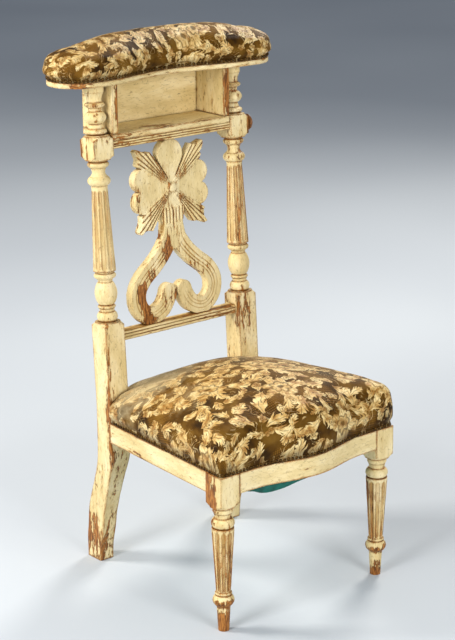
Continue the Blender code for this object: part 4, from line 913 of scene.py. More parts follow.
def seat_cushion(name, size):
    low, floor, inner = REBATE_LOW + GAP, RAIL_TOP + GAP, COVER_FOOT - COVER_THICK
    rows = [(floor, inner - 0.020, 0.010), (floor, inner, 0.011), (low + 0.002, inner, 0.011),
            (low, COVER_FOOT - COVER_THICK / 2, 0.0115)]
    rows += [(low + rise, COVER_FOOT, SEAT_CORNER) for rise in (0.0006, 0.0036, 0.0075, 0.0115)]
    rings = plan_rings(seat_plan, rows)
    top = seat_top(size)
    outer, inner = seat_plan(0.0015, 0.014), seat_plan(0.0015 - 0.026, 0.030)
    rings += shouldered(outer, inner, low + 0.0115, top, radius=0.026, bulge=0.0022, rows=10, steps=9)
    item, points = cushion(name, rings, SEAT_CORNERS, top, 0.330, 0.02, size.seat_swell)
    # Pleats and pulls from the nails, deepest at the corners, gone 50 mm up
    x, y, z = points.T
    above = np.clip((z - NAIL_LINE) / 0.05, 0, 1)
    around = x * np.sign(SEAT_MIDDLE - y) + y * np.sign(x)
    turn = np.arctan2(y - SEAT_MIDDLE, x)
    pull = np.sin(around * 2 * math.pi / 0.021 + 2.0 * np.sin(turn * 5)) * (1 - above) ** 2
    pull *= np.clip((z - NAIL_LINE - 0.004) / 0.010, 0, 1)
    corner = np.exp(-((np.abs(x) - SEAT_HALF_FRONT) ** 2 + (y - SEAT_FRONT) ** 2) / 0.050 ** 2)
    inward = np.stack([x, y - SEAT_MIDDLE, np.zeros(len(points))], axis=1)
    points = pushed(points, inward, pull * (0.0010 + 0.0014 * corner))
    soft = np.clip((points[:, 2] - 0.33) / 0.03, 0, 1)
    points[:, 2] += 0.0012 * ripple(points, 0.11, 1.5) * soft
    points = round_posts(points)
    set_points(item.data, points)
    height = NAIL_LINE + seat_side_height(points[:, 1])
    half_x = lambda y: np.vectorize(seat_half)(y) - 0.030
    half_y = lambda x: SEAT_DEPTH / 2 - 0.030
    write_cloth(item.data, unrolled(points, (0, SEAT_MIDDLE), (half_x, half_y), height))
    return refined(item)


def round_posts(points):
    """Tucks the cover round the two posts, which stand in its back corners."""
    room, far = 0.0018, 0.05
    for side in (-1, 1):
        x, y, z = points.T
        inner = side * POST_X - side * (POST_HALF + room)
        front = POST_FRONT - room
        past_x = (x - inner) * side
        past_y = y - front
        inside = (past_x > 0) & (past_y > 0)
        by_y = inside & (past_y < past_x)
        x = np.where(inside & ~by_y, inner, x)
        y = np.where(by_y, front, y)
        near_x, near_y = past_x > -far, past_y > -far
        gap = np.hypot(np.clip(-past_x, 0, None) * near_y, np.clip(-past_y, 0, None) * near_x)
        near = np.exp(-(np.clip(gap, 0, 1) / 0.014) ** 2) * near_x * near_y
        dip = near * np.clip((z - 0.33) / 0.02, 0, 1)
        points = np.stack([x, y, z - 0.007 * dip], axis=1)
    return points


PAD_REACH = BOARD_HIGH.x - (BOARD_FRONT + BOARD_BACK) / 2


def pad_top(size, side_top):
    def height(x, y):
        middle_x = np.clip(x, -PAD_REACH, PAD_REACH)
        front = HEAD_Y + np.vectorize(hollow)(middle_x) - BOARD_FRONT - 0.006
        back = HEAD_Y + BOARD_BACK + 0.006
        middle_y, half_y = (front + back) / 2, (back - front) / 2
        v = np.clip(np.hypot((y - middle_y) / half_y, (x - middle_x) / 0.0618), 0, 1)
        crown = size.pad_crown * (1 - v ** 2.2) * (1 - 0.45 * np.abs(middle_x / PAD_REACH) ** 4)
        return side_top - 0.004 + crown
    return height


def arm_pad(name, size):
    base, low, inner = BOARD_HIGH.z + GAP, BOARD_EDGE + GAP, COVER_FOOT - COVER_THICK
    rows = [(base, inner - 0.014), (base, inner), (BOARD_EDGE + 0.002, inner),
            (low, COVER_FOOT - COVER_THICK / 2)]
    rows += [(low + rise, COVER_FOOT) for rise in (0.0008, 0.0040, 0.0080)]
    rings = plan_rings(board_plan, rows)
    side_top = BOARD_EDGE + 0.0400
    top = pad_top(size, side_top)
    outer, inner = board_plan(0.0035), board_plan(0.0035 - 0.020)
    rings += shouldered(outer, inner, low + 0.0080, top, radius=0.020, bulge=0.0024, rows=7, steps=9)
    item, points = cushion(name, rings, PAD_CORNERS, top, BOARD_EDGE + 0.016, 0.010, size.pad_swell)
    # Short pulls from the nails, gone 34 mm up
    x, y, z = points.T
    above = np.clip((z - BOARD_EDGE) / 0.034, 0, 1)
    around = x + np.sign(x) * (y - HEAD_Y)
    pull = np.sin(around * 2 * math.pi / 0.0135) * (1 - above) ** 1.6
    pull *= np.clip((z - BOARD_EDGE - 0.008) / 0.008, 0, 1)
    past_x = x - np.clip(x, -PAD_REACH, PAD_REACH)
    outward = np.stack([past_x, y - HEAD_Y - 0.010, np.zeros(len(points))], axis=1)
    points = pushed(points, outward, pull * 0.0013)
    soft = np.clip((points[:, 2] - BOARD_EDGE - 0.02) / 0.02, 0, 1)
    points[:, 2] += 0.0012 * ripple(points, 0.075, 4.5) * soft
    set_points(item.data, points)
    half_x = lambda y: BOARD_HIGH.x - 0.030
    half_y = lambda x: 0.034
    flat = unrolled(points, (0, HEAD_Y + 0.012), (half_x, half_y), side_top)
    write_cloth(item.data, flat + [0.43, 0.21])
    return refined(item)


# Nails

def along(path, pitch):
    """Points and outward ways every pitch along a closed path."""
    path = np.asarray(path, dtype=float)
    ahead = np.roll(path, -1, axis=0)
    lengths = np.linalg.norm(ahead - path, axis=1)
    total = lengths.sum()
    count = max(int(round(total / pitch)), 3)
    marks = np.cumsum(lengths) - lengths
    result = []
    for index in range(count):
        mark = total * index / count
        row = int(np.searchsorted(marks, mark, side="right") - 1)
        share = (mark - marks[row]) / max(lengths[row], 1e-9)
        place = path[row] + (ahead[row] - path[row]) * share
        way = (ahead[row] - path[row]) / max(lengths[row], 1e-9)
        result.append((place, np.array([way[1], -way[0]])))
    return result


def nails(name, spots):
    """Domed heads, each turned a little out of line as if driven by hand."""
    points, faces = [], []
    rows, around, rise = 5, 14, 0.0022
    for number, (place, out, height) in enumerate(spots):
        side = np.array([-out[1], out[0]])
        place = place + side * 0.0004 * math.sin(number * 12.9898)
        height += 0.0004 * math.sin(number * 78.233)
        start = len(points)
        for row in range(rows):
            turn = math.pi / 2 * row / rows
            reach = NAIL_RADIUS * math.cos(turn) * (1 + 0.05 * math.sin(number * 3.7))
            for step in range(around):
                angle = 2 * math.pi * step / around
                x, y = place + side * reach * math.cos(angle) + out * (rise * math.sin(turn) + 0.00005)
                points.append((x, y, height + reach * math.sin(angle)))
        for (x, y) in (place + out * rise, place + out * 0.00005):
            points.append((x, y, height))
        faces += quads(rows, around, start)
        last, tip = start + (rows - 1) * around, start + rows * around
        for step in range(around):
            after = (step + 1) % around
            faces.append((last + step, last + after, tip))
            faces.append((start + after, start + step, tip + 1))
    mesh = mesh_of(name, points, faces)
    mesh.shade_smooth()
    return put(name, mesh)


def seat_nail_spots(size):
    spots = []
    for place, out in along(seat_plan(COVER_FOOT + 0.0001, SEAT_CORNER), size.seat_nail_pitch):
        at_post = abs(place[0]) > POST_X - POST_HALF - 0.007 and place[1] > POST_FRONT - 0.007
        if not at_post:
            spots.append((place, out, REBATE_LOW + NAIL_RADIUS + 0.0010))
    return spots


def pad_nail_spots(size):
    height = BOARD_EDGE + NAIL_RADIUS + 0.0010
    path = board_plan(COVER_FOOT + 0.0001)
    return [(place, out, height) for place, out in along(path, size.pad_nail_pitch)]


# Dust cover

def dust_height(x, y):
    """How far the sheet hangs at this place: 7 mm all over, and a belly left of the middle."""
    sag, belly, belly_x, belly_left, belly_right = 0.007, 0.0245, -0.085, 0.040, 0.050
    share = min(max((y - SEAT_FRONT + bow(x)) / SEAT_DEPTH, 0), 1)
    fall = math.sin(math.pi * share ** 0.55) ** 0.8 if 0 < share < 1 else 0
    near = math.exp(-((x - belly_x) / (belly_left if x < belly_x else belly_right)) ** 2)
    edge = max(1 - abs(x / seat_half(y)) ** 4, 0)
    return (sag + belly * near) * fall * edge


def dust_plan(pitch):
    """Outline of the sheet under the rails, cut out round the legs and the posts."""
    notch, inset = 0.0015, 0.012
    front_end, back_end = LEG_AXIS.x - LEG_HALF - notch, POST_X - POST_HALF - notch
    leg_back, post_front = LEG_AXIS.y + LEG_HALF + notch, POST_FRONT - notch - 0.0045
    front, back = SEAT_FRONT + inset, SEAT_BACK - inset
    right = [(0.0, front - bow(0))]
    corners = [(front_end, front - bow(front_end)), (front_end, leg_back),
               (seat_half(leg_back) - inset, leg_back), (seat_half(post_front) - inset, post_front),
               (back_end, post_front), (back_end, back), (0.0, back)]
    for target in corners:
        start = right[-1]
        count = max(int(math.dist(start, target) / pitch), 1)
        for index in range(1, count + 1):
            share = index / count
            x = start[0] + (target[0] - start[0]) * share
            y = front - bow(x) if target is corners[0] else start[1] + (target[1] - start[1]) * share
            right.append((x, y))
    return right + [(-x, y) for x, y in reversed(right[1:-1])]


def dust_cover(name):
    """Sheet tacked under the rails, gathered a little at its edge, with its flat area."""
    level = RAIL_LOW - GAP * 2 - 0.002
    centre = (SEAT_HALF_FRONT * -0.30, SEAT_FRONT + SEAT_DEPTH * 0.4)
    plan = dust_plan(0.006)
    rings = []
    for share in np.arange(30) / 30:
        ring = []
        for x, y in plan:
            near_x, near_y = x + (centre[0] - x) * share, y + (centre[1] - y) * share
            turn = math.atan2(y - centre[1], x - centre[0])
            wave = math.sin(turn * 23 + 2 * math.sin(turn * 3))
            gather = 0.0016 * wave * min(share * 6, 1) * (1 - share) ** 2
            ring.append((near_x, near_y, level - (dust_height(near_x, near_y) if share else 0) + gather))
        rings.append(ring)
    rings.append([(centre[0] + (x - centre[0]) * 0.012, centre[1] + (y - centre[1]) * 0.012,
                   level - dust_height(*centre)) for x, y in plan])
    item = loft(name, rings, cap_first=False)
    return item, sum(face.area for face in item.data.polygons)


# Finishes

def add(tree, kind, links=(), stops=(), give=None, **settings):
    """Adds a node, sets its settings, colour stops and sockets, joins it, and gives the output asked for.
    The sockets' values come in order, or by number or name where some sockets are left alone."""
    made = tree.nodes.new("ShaderNode" + kind)
    for name, value in settings.items():
        setattr(made, name, value)
    for place, value in links.items() if isinstance(links, dict) else enumerate(links):
        socket = made.inputs[place]
        if isinstance(value, bpy.types.NodeSocket):
            tree.links.new(value, socket)
        else:
            socket.default_value = linear(value) if isinstance(value, str) else value
    for index, (place, colour) in enumerate(stops):
        elements = made.color_ramp.elements
        element = elements[index] if index < len(elements) else elements.new(place)
        element.position, element.color = place, linear(colour)
    return made.outputs[give] if give else next(output for output in made.outputs if output.enabled)


def blank(name, **values):
    """A material with its shader's even values set, its tree and the shader."""
    finish = bpy.data.materials.new(name)
    finish.use_nodes = True
    shader = finish.node_tree.nodes["Principled BSDF"]
    for place, value in values.items():
        socket = shader.inputs[place.replace("_", " ")]
        socket.default_value = linear(value) if isinstance(value, str) else value
    return finish, finish.node_tree, shader


SOCKETS = {"colour": "Base Color", "shine": "Specular IOR Level"}


def coat(tree, shader, **sockets):
    """Joins a colour, roughness, shine or bump to the shader."""
    for name, value in sockets.items():
        tree.links.new(value, shader.inputs[SOCKETS.get(name, name.title())])


def distance_to(tree, place, centre, reach):
    """Distance of a place to a centre, as a share of the reach in each direction."""
    away = add(tree, "VectorMath", (place, centre), operation="SUBTRACT")
    away = add(tree, "VectorMath", (away, reach), operation="DIVIDE")
    return add(tree, "VectorMath", (away,), give="Value", operation="LENGTH")


def weave_of(tree, cloth, pitch):
    """Height of a plain weave with its ribs one pitch apart, from -1 to 1."""
    split = add(tree, "SeparateXYZ", (cloth,))
    waves = []
    for output in split.node.outputs[:2]:
        turn = add(tree, "Math", (output, 2 * math.pi / pitch), operation="MULTIPLY")
        waves.append(add(tree, "Math", (turn,), operation="SINE"))
    return add(tree, "Math", waves, operation="MULTIPLY")


GRAIN = {"X": (0.11, 1, 1), "Y": (1, 0.11, 1), "Z": (1, 1, 0.11)}


def painted_wood(name, colours, grain="Z", wear=0.0, edges=1.0, places=(), rounding=0.0060, cleared=0.03,
                 dirt_and_shade_amount=0.85):
    """Distemper paint brushed on stained walnut and rubbed through by use: chalky and crackled, with the
    orange-brown wood bare along edges and in streaks, ochre dirt and painted shade in the flutes and carving,
    and painted shade from ambient occlusion in corners and coves, with dirt in the joints."""
    finish, tree, shader = blank(name, Specular_IOR_Level=0.30)
    place = add(tree, "TexCoord", give="Object")
    along = add(tree, "VectorMath", (place, GRAIN[grain]), operation="MULTIPLY")
    half_grain = tuple(math.sqrt(value) for value in GRAIN[grain])
    half_along = add(tree, "VectorMath", (place, half_grain), operation="MULTIPLY")
    # Worn streaks about 9 mm wide and 80 mm long with ragged edges, chips of 4 mm, broad places of 60 mm
    streak = add(tree, "TexNoise", {"Vector": along, "Scale": 90, "Detail": 5, "Roughness": 0.55})
    chip = add(tree, "TexNoise", {"Vector": half_along, "Scale": 230, "Detail": 4, "Roughness": 0.62})
    broad = add(tree, "TexNoise", {"Vector": place, "Scale": 14, "Detail": 2})
    worn = wear
    for source, share in ((streak, 0.52), (chip, 0.38), (broad, 0.30)):
        worn = add(tree, "Math", (source, share, worn), operation="MULTIPLY_ADD")
    # More is worn on edges, where a rounded normal leaves the flat one, and at the places given
    rounded = add(tree, "Bevel", {"Radius": rounding}, samples=6)
    flat = add(tree, "NewGeometry", give="Normal")
    match = add(tree, "VectorMath", (rounded, flat), give="Value", operation="DOT_PRODUCT")
    more = [add(tree, "MapRange", (match, 0.999, 0.89, 0.0, 0.215 * edges))]
    for centre, reach, strength in places:
        away = distance_to(tree, place, centre, reach)
        more.append(add(tree, "MapRange", (away, 1.0, 0.35, 0.0, strength)))
    for mark in more:
        worn = add(tree, "Math", (mark, worn), operation="ADD")
    groove = add(tree, "Attribute", give="Fac", attribute_name="groove")
    worn = add(tree, "Math", (groove, cleared, worn), operation="MULTIPLY_ADD")
    # Wood laid bare, the dark rim round it, and paint that is only thin
    bare, rim, thin = (
        add(tree, "MapRange", (worn, start, end, 0.0, most))
        for start, end, most in ((0.742, 0.757, 1.0), (0.722, 0.742, 1.0), (0.655, 0.75, 0.60)))
    # Crackle: cells of 6 mm, hairlines drawn 0.3 mm wide so that they show, broken by the chips' noise
    bent = add(tree, "TexNoise", {"Vector": place, "Scale": 80, "Detail": 2}, give="Color")
    bent = add(tree, "VectorMath", (bent, (0.008, 0.008, 0.008), half_along), operation="MULTIPLY_ADD")
    crack = add(tree, "TexVoronoi", {"Vector": bent, "Scale": 170}, feature="DISTANCE_TO_EDGE")
    crack = add(tree, "MapRange", (crack, 0.0, 0.055, 1.0, 0.0))
    broken = add(tree, "MapRange", (chip, 0.46, 0.60, 0.0, 0.60))
    crack = add(tree, "Math", (crack, broken), operation="MULTIPLY")
    # Flecks where the brush missed: 1 mm wide and up to 10 mm long
    fleck = add(tree, "TexNoise", {"Vector": along, "Scale": 620, "Detail": 2, "Roughness": 0.5})
    fleck = add(tree, "MapRange", (fleck, 0.735, 0.760, 0.0, 0.80))
    # Ochre in the flutes and carving, by the depth of the groove: dirt and painted shade.
    # Ambient occlusion darkens where pieces meet and in the narrowest coves: dirt in the joints and
    # painted shade in corners and coves
    ochre_dirt_and_shade = add(tree, "MapRange", (groove, 0.05, 0.50, 0.0, dirt_and_shade_amount))
    patchy = add(tree, "MapRange", (streak, 0.36, 0.52, 0.35, 1.0))
    ochre_dirt_and_shade = add(tree, "Math", (ochre_dirt_and_shade, patchy), operation="MULTIPLY")
    occlusion_dirt_and_shade = add(tree, "AmbientOcclusion", {"Distance": 0.007}, give="AO", samples=6)
    occlusion_dirt_and_shade = add(tree, "MapRange", (occlusion_dirt_and_shade, 0.74, 0.40, 0.0, 0.80))
    # Cream paint, yellow where it is thin
    tone = add(tree, "TexNoise", {"Vector": half_along, "Scale": 36, "Detail": 6, "Roughness": 0.65})
    paint = add(tree, "ValToRGB", (tone,), ((0.34, colours.cream_dark), (0.50, colours.cream),
                                            (0.64, colours.cream_light)))
    # Over the paint: yellowing, ochre dirt with painted shade, cracks, painted occlusion shade, flecks and
    # rims
    for mark, colour in ((thin, colours.yellowed), (ochre_dirt_and_shade, colours.ochre), (crack, colours.grime_and_shade),
                         (occlusion_dirt_and_shade, colours.grime_and_shade), (fleck, colours.wood_dark), (rim, colours.wood_dark)):
        paint = add(tree, "Mix", {0: mark, 6: paint, 7: colour}, data_type="RGBA")
    # Walnut stained orange-brown, its fibres 1 mm apart, darker towards the bottom of a groove
    fibre = add(tree, "TexNoise", {"Vector": along, "Scale": 420, "Detail": 4, "Distortion": 0.4})
    shade = add(tree, "Math", (chip, 0.45, fibre), operation="MULTIPLY_ADD")
    wood = add(tree, "ValToRGB", (shade,), ((0.56, colours.wood_dark), (0.70, colours.wood),
                                            (0.84, colours.wood_light)))
    waxed = add(tree, "MapRange", (groove, 0.70, 1.0, 0.0, 0.60))
    wood = add(tree, "Mix", {0: waxed, 6: wood, 7: colours.wood_dark}, data_type="RGBA")
    colour = add(tree, "Mix", {0: bare, 6: paint, 7: wood}, data_type="RGBA")
    rough = add(tree, "MapRange", (bare, 0.0, 1.0, 0.60, 0.46))
    # The paint film stands 0.2 mm above the bare wood
    film = 1.0
    for source, share in ((bare, -1.0), (crack, -0.5), (fleck, -0.5), (fibre, 0.35), (chip, 0.6)):
        film = add(tree, "Math", (source, share, film), operation="MULTIPLY_ADD")
    bump = add(tree, "Bump", {"Strength": 0.6, "Distance": 0.00028, "Height": film})
    coat(tree, shader, colour=colour, roughness=rough, normal=bump)
    return finish


def bare_walnut(name, colours):
    """Unpainted walnut, rubbed smooth by hand and waxed: straight grain with darker pores."""
    finish, tree, shader = blank(name, Roughness=0.48)
    place = add(tree, "TexCoord", give="Object")
    along = add(tree, "VectorMath", (place, (0.12, 1, 1)), operation="MULTIPLY")
    fibre = add(tree, "TexNoise", {"Vector": along, "Scale": 260, "Detail": 5, "Distortion": 0.6})
    figure = add(tree, "TexNoise", {"Vector": along, "Scale": 45, "Detail": 3, "Distortion": 1.2})
    figure = add(tree, "Math", (figure, 0.6), operation="MULTIPLY")
    wood = add(tree, "ValToRGB", (fibre,), ((0.28, colours.wood_dark), (0.50, colours.wood),
                                            (0.72, colours.wood_light)))
    wood = add(tree, "Mix", {0: figure, 6: wood, 7: colours.wood_dark}, data_type="RGBA")
    bump = add(tree, "Bump", {"Strength": 0.4, "Distance": 0.0002, "Height": fibre})
    coat(tree, shader, colour=wood, normal=bump)
    return finish


def brocade_motif(tree, cloth, scale, shift):
    """Places of one motif, scattered over the cloth: across and along from its middle, and its own number."""
    moved = add(tree, "VectorMath", (cloth, (shift, shift * 0.7, 0)), operation="ADD")
    cell = add(tree, "TexVoronoi", {"Vector": moved, "Scale": scale, "Randomness": 0.75}, give="Position",
               voronoi_dimensions="2D")
    own = add(tree, "SeparateColor", (cell.node.outputs["Color"],))
    offset = add(tree, "VectorMath", (moved, cell), operation="SUBTRACT")
    angle = add(tree, "Math", (own, 2 * math.pi), operation="MULTIPLY")
    turned = add(tree, "VectorRotate", {"Vector": offset, "Angle": angle}, rotation_type="Z_AXIS")
    split = add(tree, "SeparateXYZ", (turned,))
    return split, split.node.outputs[1], own.node.outputs[1]


def brocade_leaf(tree, cloth, scale, reach, shift, sparse):
    """Mask and veins of lobed leaves that curl to one side; the reach is half their length."""
    across, up, own = brocade_motif(tree, cloth, scale, shift)
    share = add(tree, "Math", (across, reach), operation="DIVIDE")
    square = add(tree, "Math", (share, share), operation="MULTIPLY")
    curl = add(tree, "MapRange", (own, 0.0, 1.0, -0.55 * reach, 0.55 * reach))
    side = add(tree, "Math", (square, curl, up), operation="MULTIPLY_ADD")
    side = add(tree, "Math", (side,), operation="ABSOLUTE")
    side = add(tree, "Math", (side, reach), operation="DIVIDE")
    body = add(tree, "Math", (1.0, square), operation="SUBTRACT", use_clamp=True)
    body = add(tree, "Math", (body, 0.55), operation="POWER")
    slope = add(tree, "Math", (side, 2.3, share), operation="MULTIPLY_ADD")
    lobe = add(tree, "Math", (slope, 1.7), operation="MULTIPLY")
    lobe = add(tree, "Math", (lobe,), operation="FRACT")
    wide = add(tree, "Math", (lobe, 0.42, 0.20), operation="MULTIPLY_ADD")
    wide = add(tree, "Math", (wide, body), operation="MULTIPLY")
    leaf = add(tree, "Math", (wide, side), operation="SUBTRACT")
    leaf = add(tree, "MapRange", (leaf, 0.0, 0.035, 0.0, 1.0))
    middle = add(tree, "MapRange", (side, 0.012, 0.045, 0.7, 0.0))
    vein = add(tree, "MapRange", (lobe, 0.14, 0.0, 0.0, 0.35))
    vein = add(tree, "Math", (vein, middle), operation="MAXIMUM")
    chosen = add(tree, "MapRange", (own, sparse, sparse + 0.01, 0.0, 1.0))
    return add(tree, "Math", (leaf, chosen), operation="MULTIPLY"), vein


def brocade_flower(tree, cloth, scale, reach, petals, shift):
    """Mask and petal lines of full flowers; only some places have one."""
    across, up, own = brocade_motif(tree, cloth, scale, shift)
    across = add(tree, "Math", (across, reach), operation="DIVIDE")
    up = add(tree, "Math", (up, reach), operation="DIVIDE")
    turn = add(tree, "Math", (up, across), operation="ARCTAN2")
    far = add(tree, "Math", (across, across), operation="MULTIPLY")
    far = add(tree, "Math", (up, up, far), operation="MULTIPLY_ADD")
    far = add(tree, "Math", (far,), operation="SQRT")
    # Petals sit in two rounds, the inner ones turned by half a petal
    lines = []
    for round_reach, half_turn in ((1.0, 0.0), (0.55, math.pi / 2)):
        wave = add(tree, "Math", (turn, petals / 2, half_turn), operation="MULTIPLY_ADD")
        wave = add(tree, "Math", (wave,), operation="COSINE")
        wave = add(tree, "Math", (wave,), operation="ABSOLUTE")
        rim = add(tree, "Math", (wave, 0.30 * round_reach, 0.70 * round_reach), operation="MULTIPLY_ADD")
        lines.append(add(tree, "Math", (rim, far), operation="SUBTRACT"))
    chosen = add(tree, "MapRange", (own, 0.34, 0.35, 0.0, 1.0))
    flower = add(tree, "MapRange", (lines[0], 0.0, 0.10, 0.0, 1.0))
    flower = add(tree, "Math", (flower, chosen), operation="MULTIPLY")
    inner = add(tree, "Math", (lines[1],), operation="ABSOLUTE")
    inner = add(tree, "MapRange", (inner, 0.03, 0.10, 0.75, 0.0))
    heart = add(tree, "MapRange", (far, 0.22, 0.15, 0.0, 0.8))
    inner = add(tree, "Math", (inner, heart), operation="MAXIMUM")
    streaks = add(tree, "Math", (turn, petals * 4.0), operation="MULTIPLY")
    streaks = add(tree, "Math", (streaks,), operation="SINE")
    streaks = add(tree, "MapRange", (streaks, 0.2, 0.9, 0.0, 0.35))
    return flower, add(tree, "Math", (inner, streaks), operation="MAXIMUM")


def brocade(name, colours, low, sheen, fine=1.0, sheen_places=()):
    """Cut velvet brocade: satin flowers and curling leaves stand out of an olive-brown pile ground, with a
    sheen along the nap. The cloth coordinate is in metres; a finer cloth has all of its pattern smaller.
    Low is the height of its nailed edge. The sizes below are those of the seat's cloth."""
    finish, tree, shader = blank(name, Sheen_Weight=sheen, Sheen_Roughness=0.30, Sheen_Tint="#fbe3b8")
    flat = add(tree, "UVMap", uv_map="cloth")
    flat = add(tree, "VectorMath", (flat, (fine, fine, 1)), operation="MULTIPLY")
    # Pulled and crushed cloth: the pattern wanders by 4 mm over 25 mm
    drift = add(tree, "TexNoise", {"Vector": flat, "Scale": 38, "Detail": 3}, give="Color",
                noise_dimensions="2D")
    drift = add(tree, "VectorMath", (drift, (0.5, 0.5, 0.5)), operation="SUBTRACT")
    cloth = add(tree, "VectorMath", (drift, (0.016, 0.016, 0), flat), operation="MULTIPLY_ADD")
    # Leaves 45 and 32 mm long, flowers 68 and 21 mm across, tendrils 2 mm wide
    motifs = (brocade_leaf(tree, cloth, 21.0, 0.023, 0.0, 0.10),
              brocade_leaf(tree, cloth, 29.0, 0.0165, 0.37, 0.25),
              brocade_flower(tree, cloth, 28.0, 0.0105, 5, 0.53),
              brocade_flower(tree, cloth, 8.4, 0.034, 7, 0.19))
    curl = add(tree, "TexNoise", {"Vector": cloth, "Scale": 44, "Detail": 0.6, "Distortion": 1.3},
               noise_dimensions="2D")
    curl = add(tree, "Math", (curl, 0.5), operation="SUBTRACT")
    curl = add(tree, "Math", (curl,), operation="ABSOLUTE")
    curl = add(tree, "MapRange", (curl, 0.010, 0.024, 0.75, 0.0))
    parted = add(tree, "TexNoise", {"Vector": flat, "Scale": 24, "Detail": 0}, noise_dimensions="2D")
    parted = add(tree, "MapRange", (parted, 0.46, 0.54, 0.0, 1.0))
    curl = add(tree, "Math", (curl, parted), operation="MULTIPLY")
    # Netted patches with 4 mm meshes
    net = add(tree, "TexVoronoi", {"Vector": flat, "Scale": 260, "Randomness": 0.0}, voronoi_dimensions="2D")
    net = add(tree, "MapRange", (net, 0.22, 0.40, 0.60, 0.0))
    patch = add(tree, "TexNoise", {"Vector": flat, "Scale": 9, "Detail": 0}, noise_dimensions="2D")
    patch = add(tree, "MapRange", (patch, 0.55, 0.60, 0.0, 1.0))
    net = add(tree, "Math", (net, patch), operation="MULTIPLY")
    shade = add(tree, "TexNoise", {"Vector": flat, "Scale": 16, "Detail": 3, "Roughness": 0.6},
                noise_dimensions="2D")
    ground = add(tree, "ValToRGB", (shade,), ((0.34, colours.ground_dark), (0.50, colours.ground),
                                              (0.68, colours.ground_gold)))
    worn = add(tree, "TexNoise", {"Vector": cloth, "Scale": 55, "Detail": 4, "Roughness": 0.6},
               noise_dimensions="2D")
    figure = add(tree, "ValToRGB", (worn,), ((0.36, colours.figure_gold), (0.50, colours.figure),
                                             (0.64, colours.figure_light)))
    rubbed_and_sheen = add(tree, "MapRange", (worn, 0.30, 0.46, 0.45, 1.0))
    colour = add(tree, "Mix", {0: net, 6: ground, 7: colours.figure_gold}, data_type="RGBA")
    tendril = add(tree, "Math", (curl, rubbed_and_sheen), operation="MULTIPLY")
    colour = add(tree, "Mix", {0: tendril, 6: colour, 7: figure}, data_type="RGBA")
    # Each motif covers the ones before it, and its veins and petal lines show the ground
    satin = curl
    for mask, lines in motifs:
        colour = add(tree, "Mix", {0: mask, 6: colour, 7: figure}, data_type="RGBA")
        inner = add(tree, "Math", (mask, lines), operation="MULTIPLY")
        colour = add(tree, "Mix", {0: inner, 6: colour, 7: ground}, data_type="RGBA")
        satin = add(tree, "Math", (satin, mask), operation="MAXIMUM")
        satin = add(tree, "Math", (satin, inner), operation="SUBTRACT", use_clamp=True)
    # Painted sheen: the nap is painted pale where it catches the light
    place = add(tree, "TexCoord", give="Object")
    for centre, reach, strength in sheen_places:
        away = distance_to(tree, place, centre, reach)
        away = add(tree, "Math", (worn, -0.9, away), operation="MULTIPLY_ADD")
        near = add(tree, "MapRange", (away, 0.50, -0.10, 0.0, strength))
        colour = add(tree, "Mix", {0: near, 6: colour, 7: colours.rubbed_and_sheen}, data_type="RGBA")
    # Darker over the lowest 20 to 35 mm above the nailed edge: the pile crushed and dirty where the nails
    # pull it in, and painted shade
    height = add(tree, "SeparateXYZ", (place,), give="Z")
    crushed_and_shaded = add(tree, "Math", (shade, 0.030, height), operation="MULTIPLY_ADD")
    crushed_and_shaded = add(tree, "MapRange", (crushed_and_shaded, low + 0.018, low + 0.036, 0.62, 0.0))
    colour = add(tree, "Mix", {0: crushed_and_shaded, 6: colour, 7: colours.ground_dark}, data_type="RGBA")
    # Weave: ribs drawn 1.2 mm apart, about twice the real spacing, so that they show
    weave = weave_of(tree, flat, 0.0012)
    height = add(tree, "Math", (weave, 0.12, satin), operation="MULTIPLY_ADD")
    bump = add(tree, "Bump", {"Strength": 0.8, "Distance": 0.0007, "Height": height})
    rough = add(tree, "MapRange", (satin, 0.0, 1.0, 0.54, 0.36))
    shine = add(tree, "MapRange", (satin, 0.0, 1.0, 0.08, 0.42))
    coat(tree, shader, colour=colour, roughness=rough, shine=shine, normal=bump)
    return finish


def woven_cloth(name, dark, light, pitch):
    """Plain woven cloth with threads one pitch apart, dull and slightly hairy."""
    finish, tree, shader = blank(name, Roughness=0.85)
    place = add(tree, "TexCoord", give="Object")
    weave = weave_of(tree, place, pitch)
    fuzz = add(tree, "TexNoise", {"Vector": place, "Scale": 60, "Detail": 5})
    tone = add(tree, "Math", (weave, 0.18, fuzz), operation="MULTIPLY_ADD")
    colour = add(tree, "ValToRGB", (tone,), ((0.35, dark), (0.62, light)))
    bump = add(tree, "Bump", {"Strength": 0.5, "Distance": 0.0004, "Height": weave})
    coat(tree, shader, colour=colour, normal=bump)
    return finish


def worn_steel(name, dark, light, scale, smoothest):
    """Steel with spots of tarnish. Nail heads are pressed and bronzed brown, and polished a little in spots
    by wear; the springs' wire is drawn, coppered against rust and dulled."""
    finish, tree, shader = blank(name, Metallic=1.0)
    place = add(tree, "TexCoord", give="Object")
    spot = add(tree, "TexNoise", {"Vector": place, "Scale": scale, "Detail": 3})
    colour = add(tree, "ValToRGB", (spot,), ((0.35, dark), (0.65, light)))
    rough = add(tree, "MapRange", (spot, 0.3, 0.7, smoothest, 0.55))
    coat(tree, shader, colour=colour, roughness=rough)
    return finish


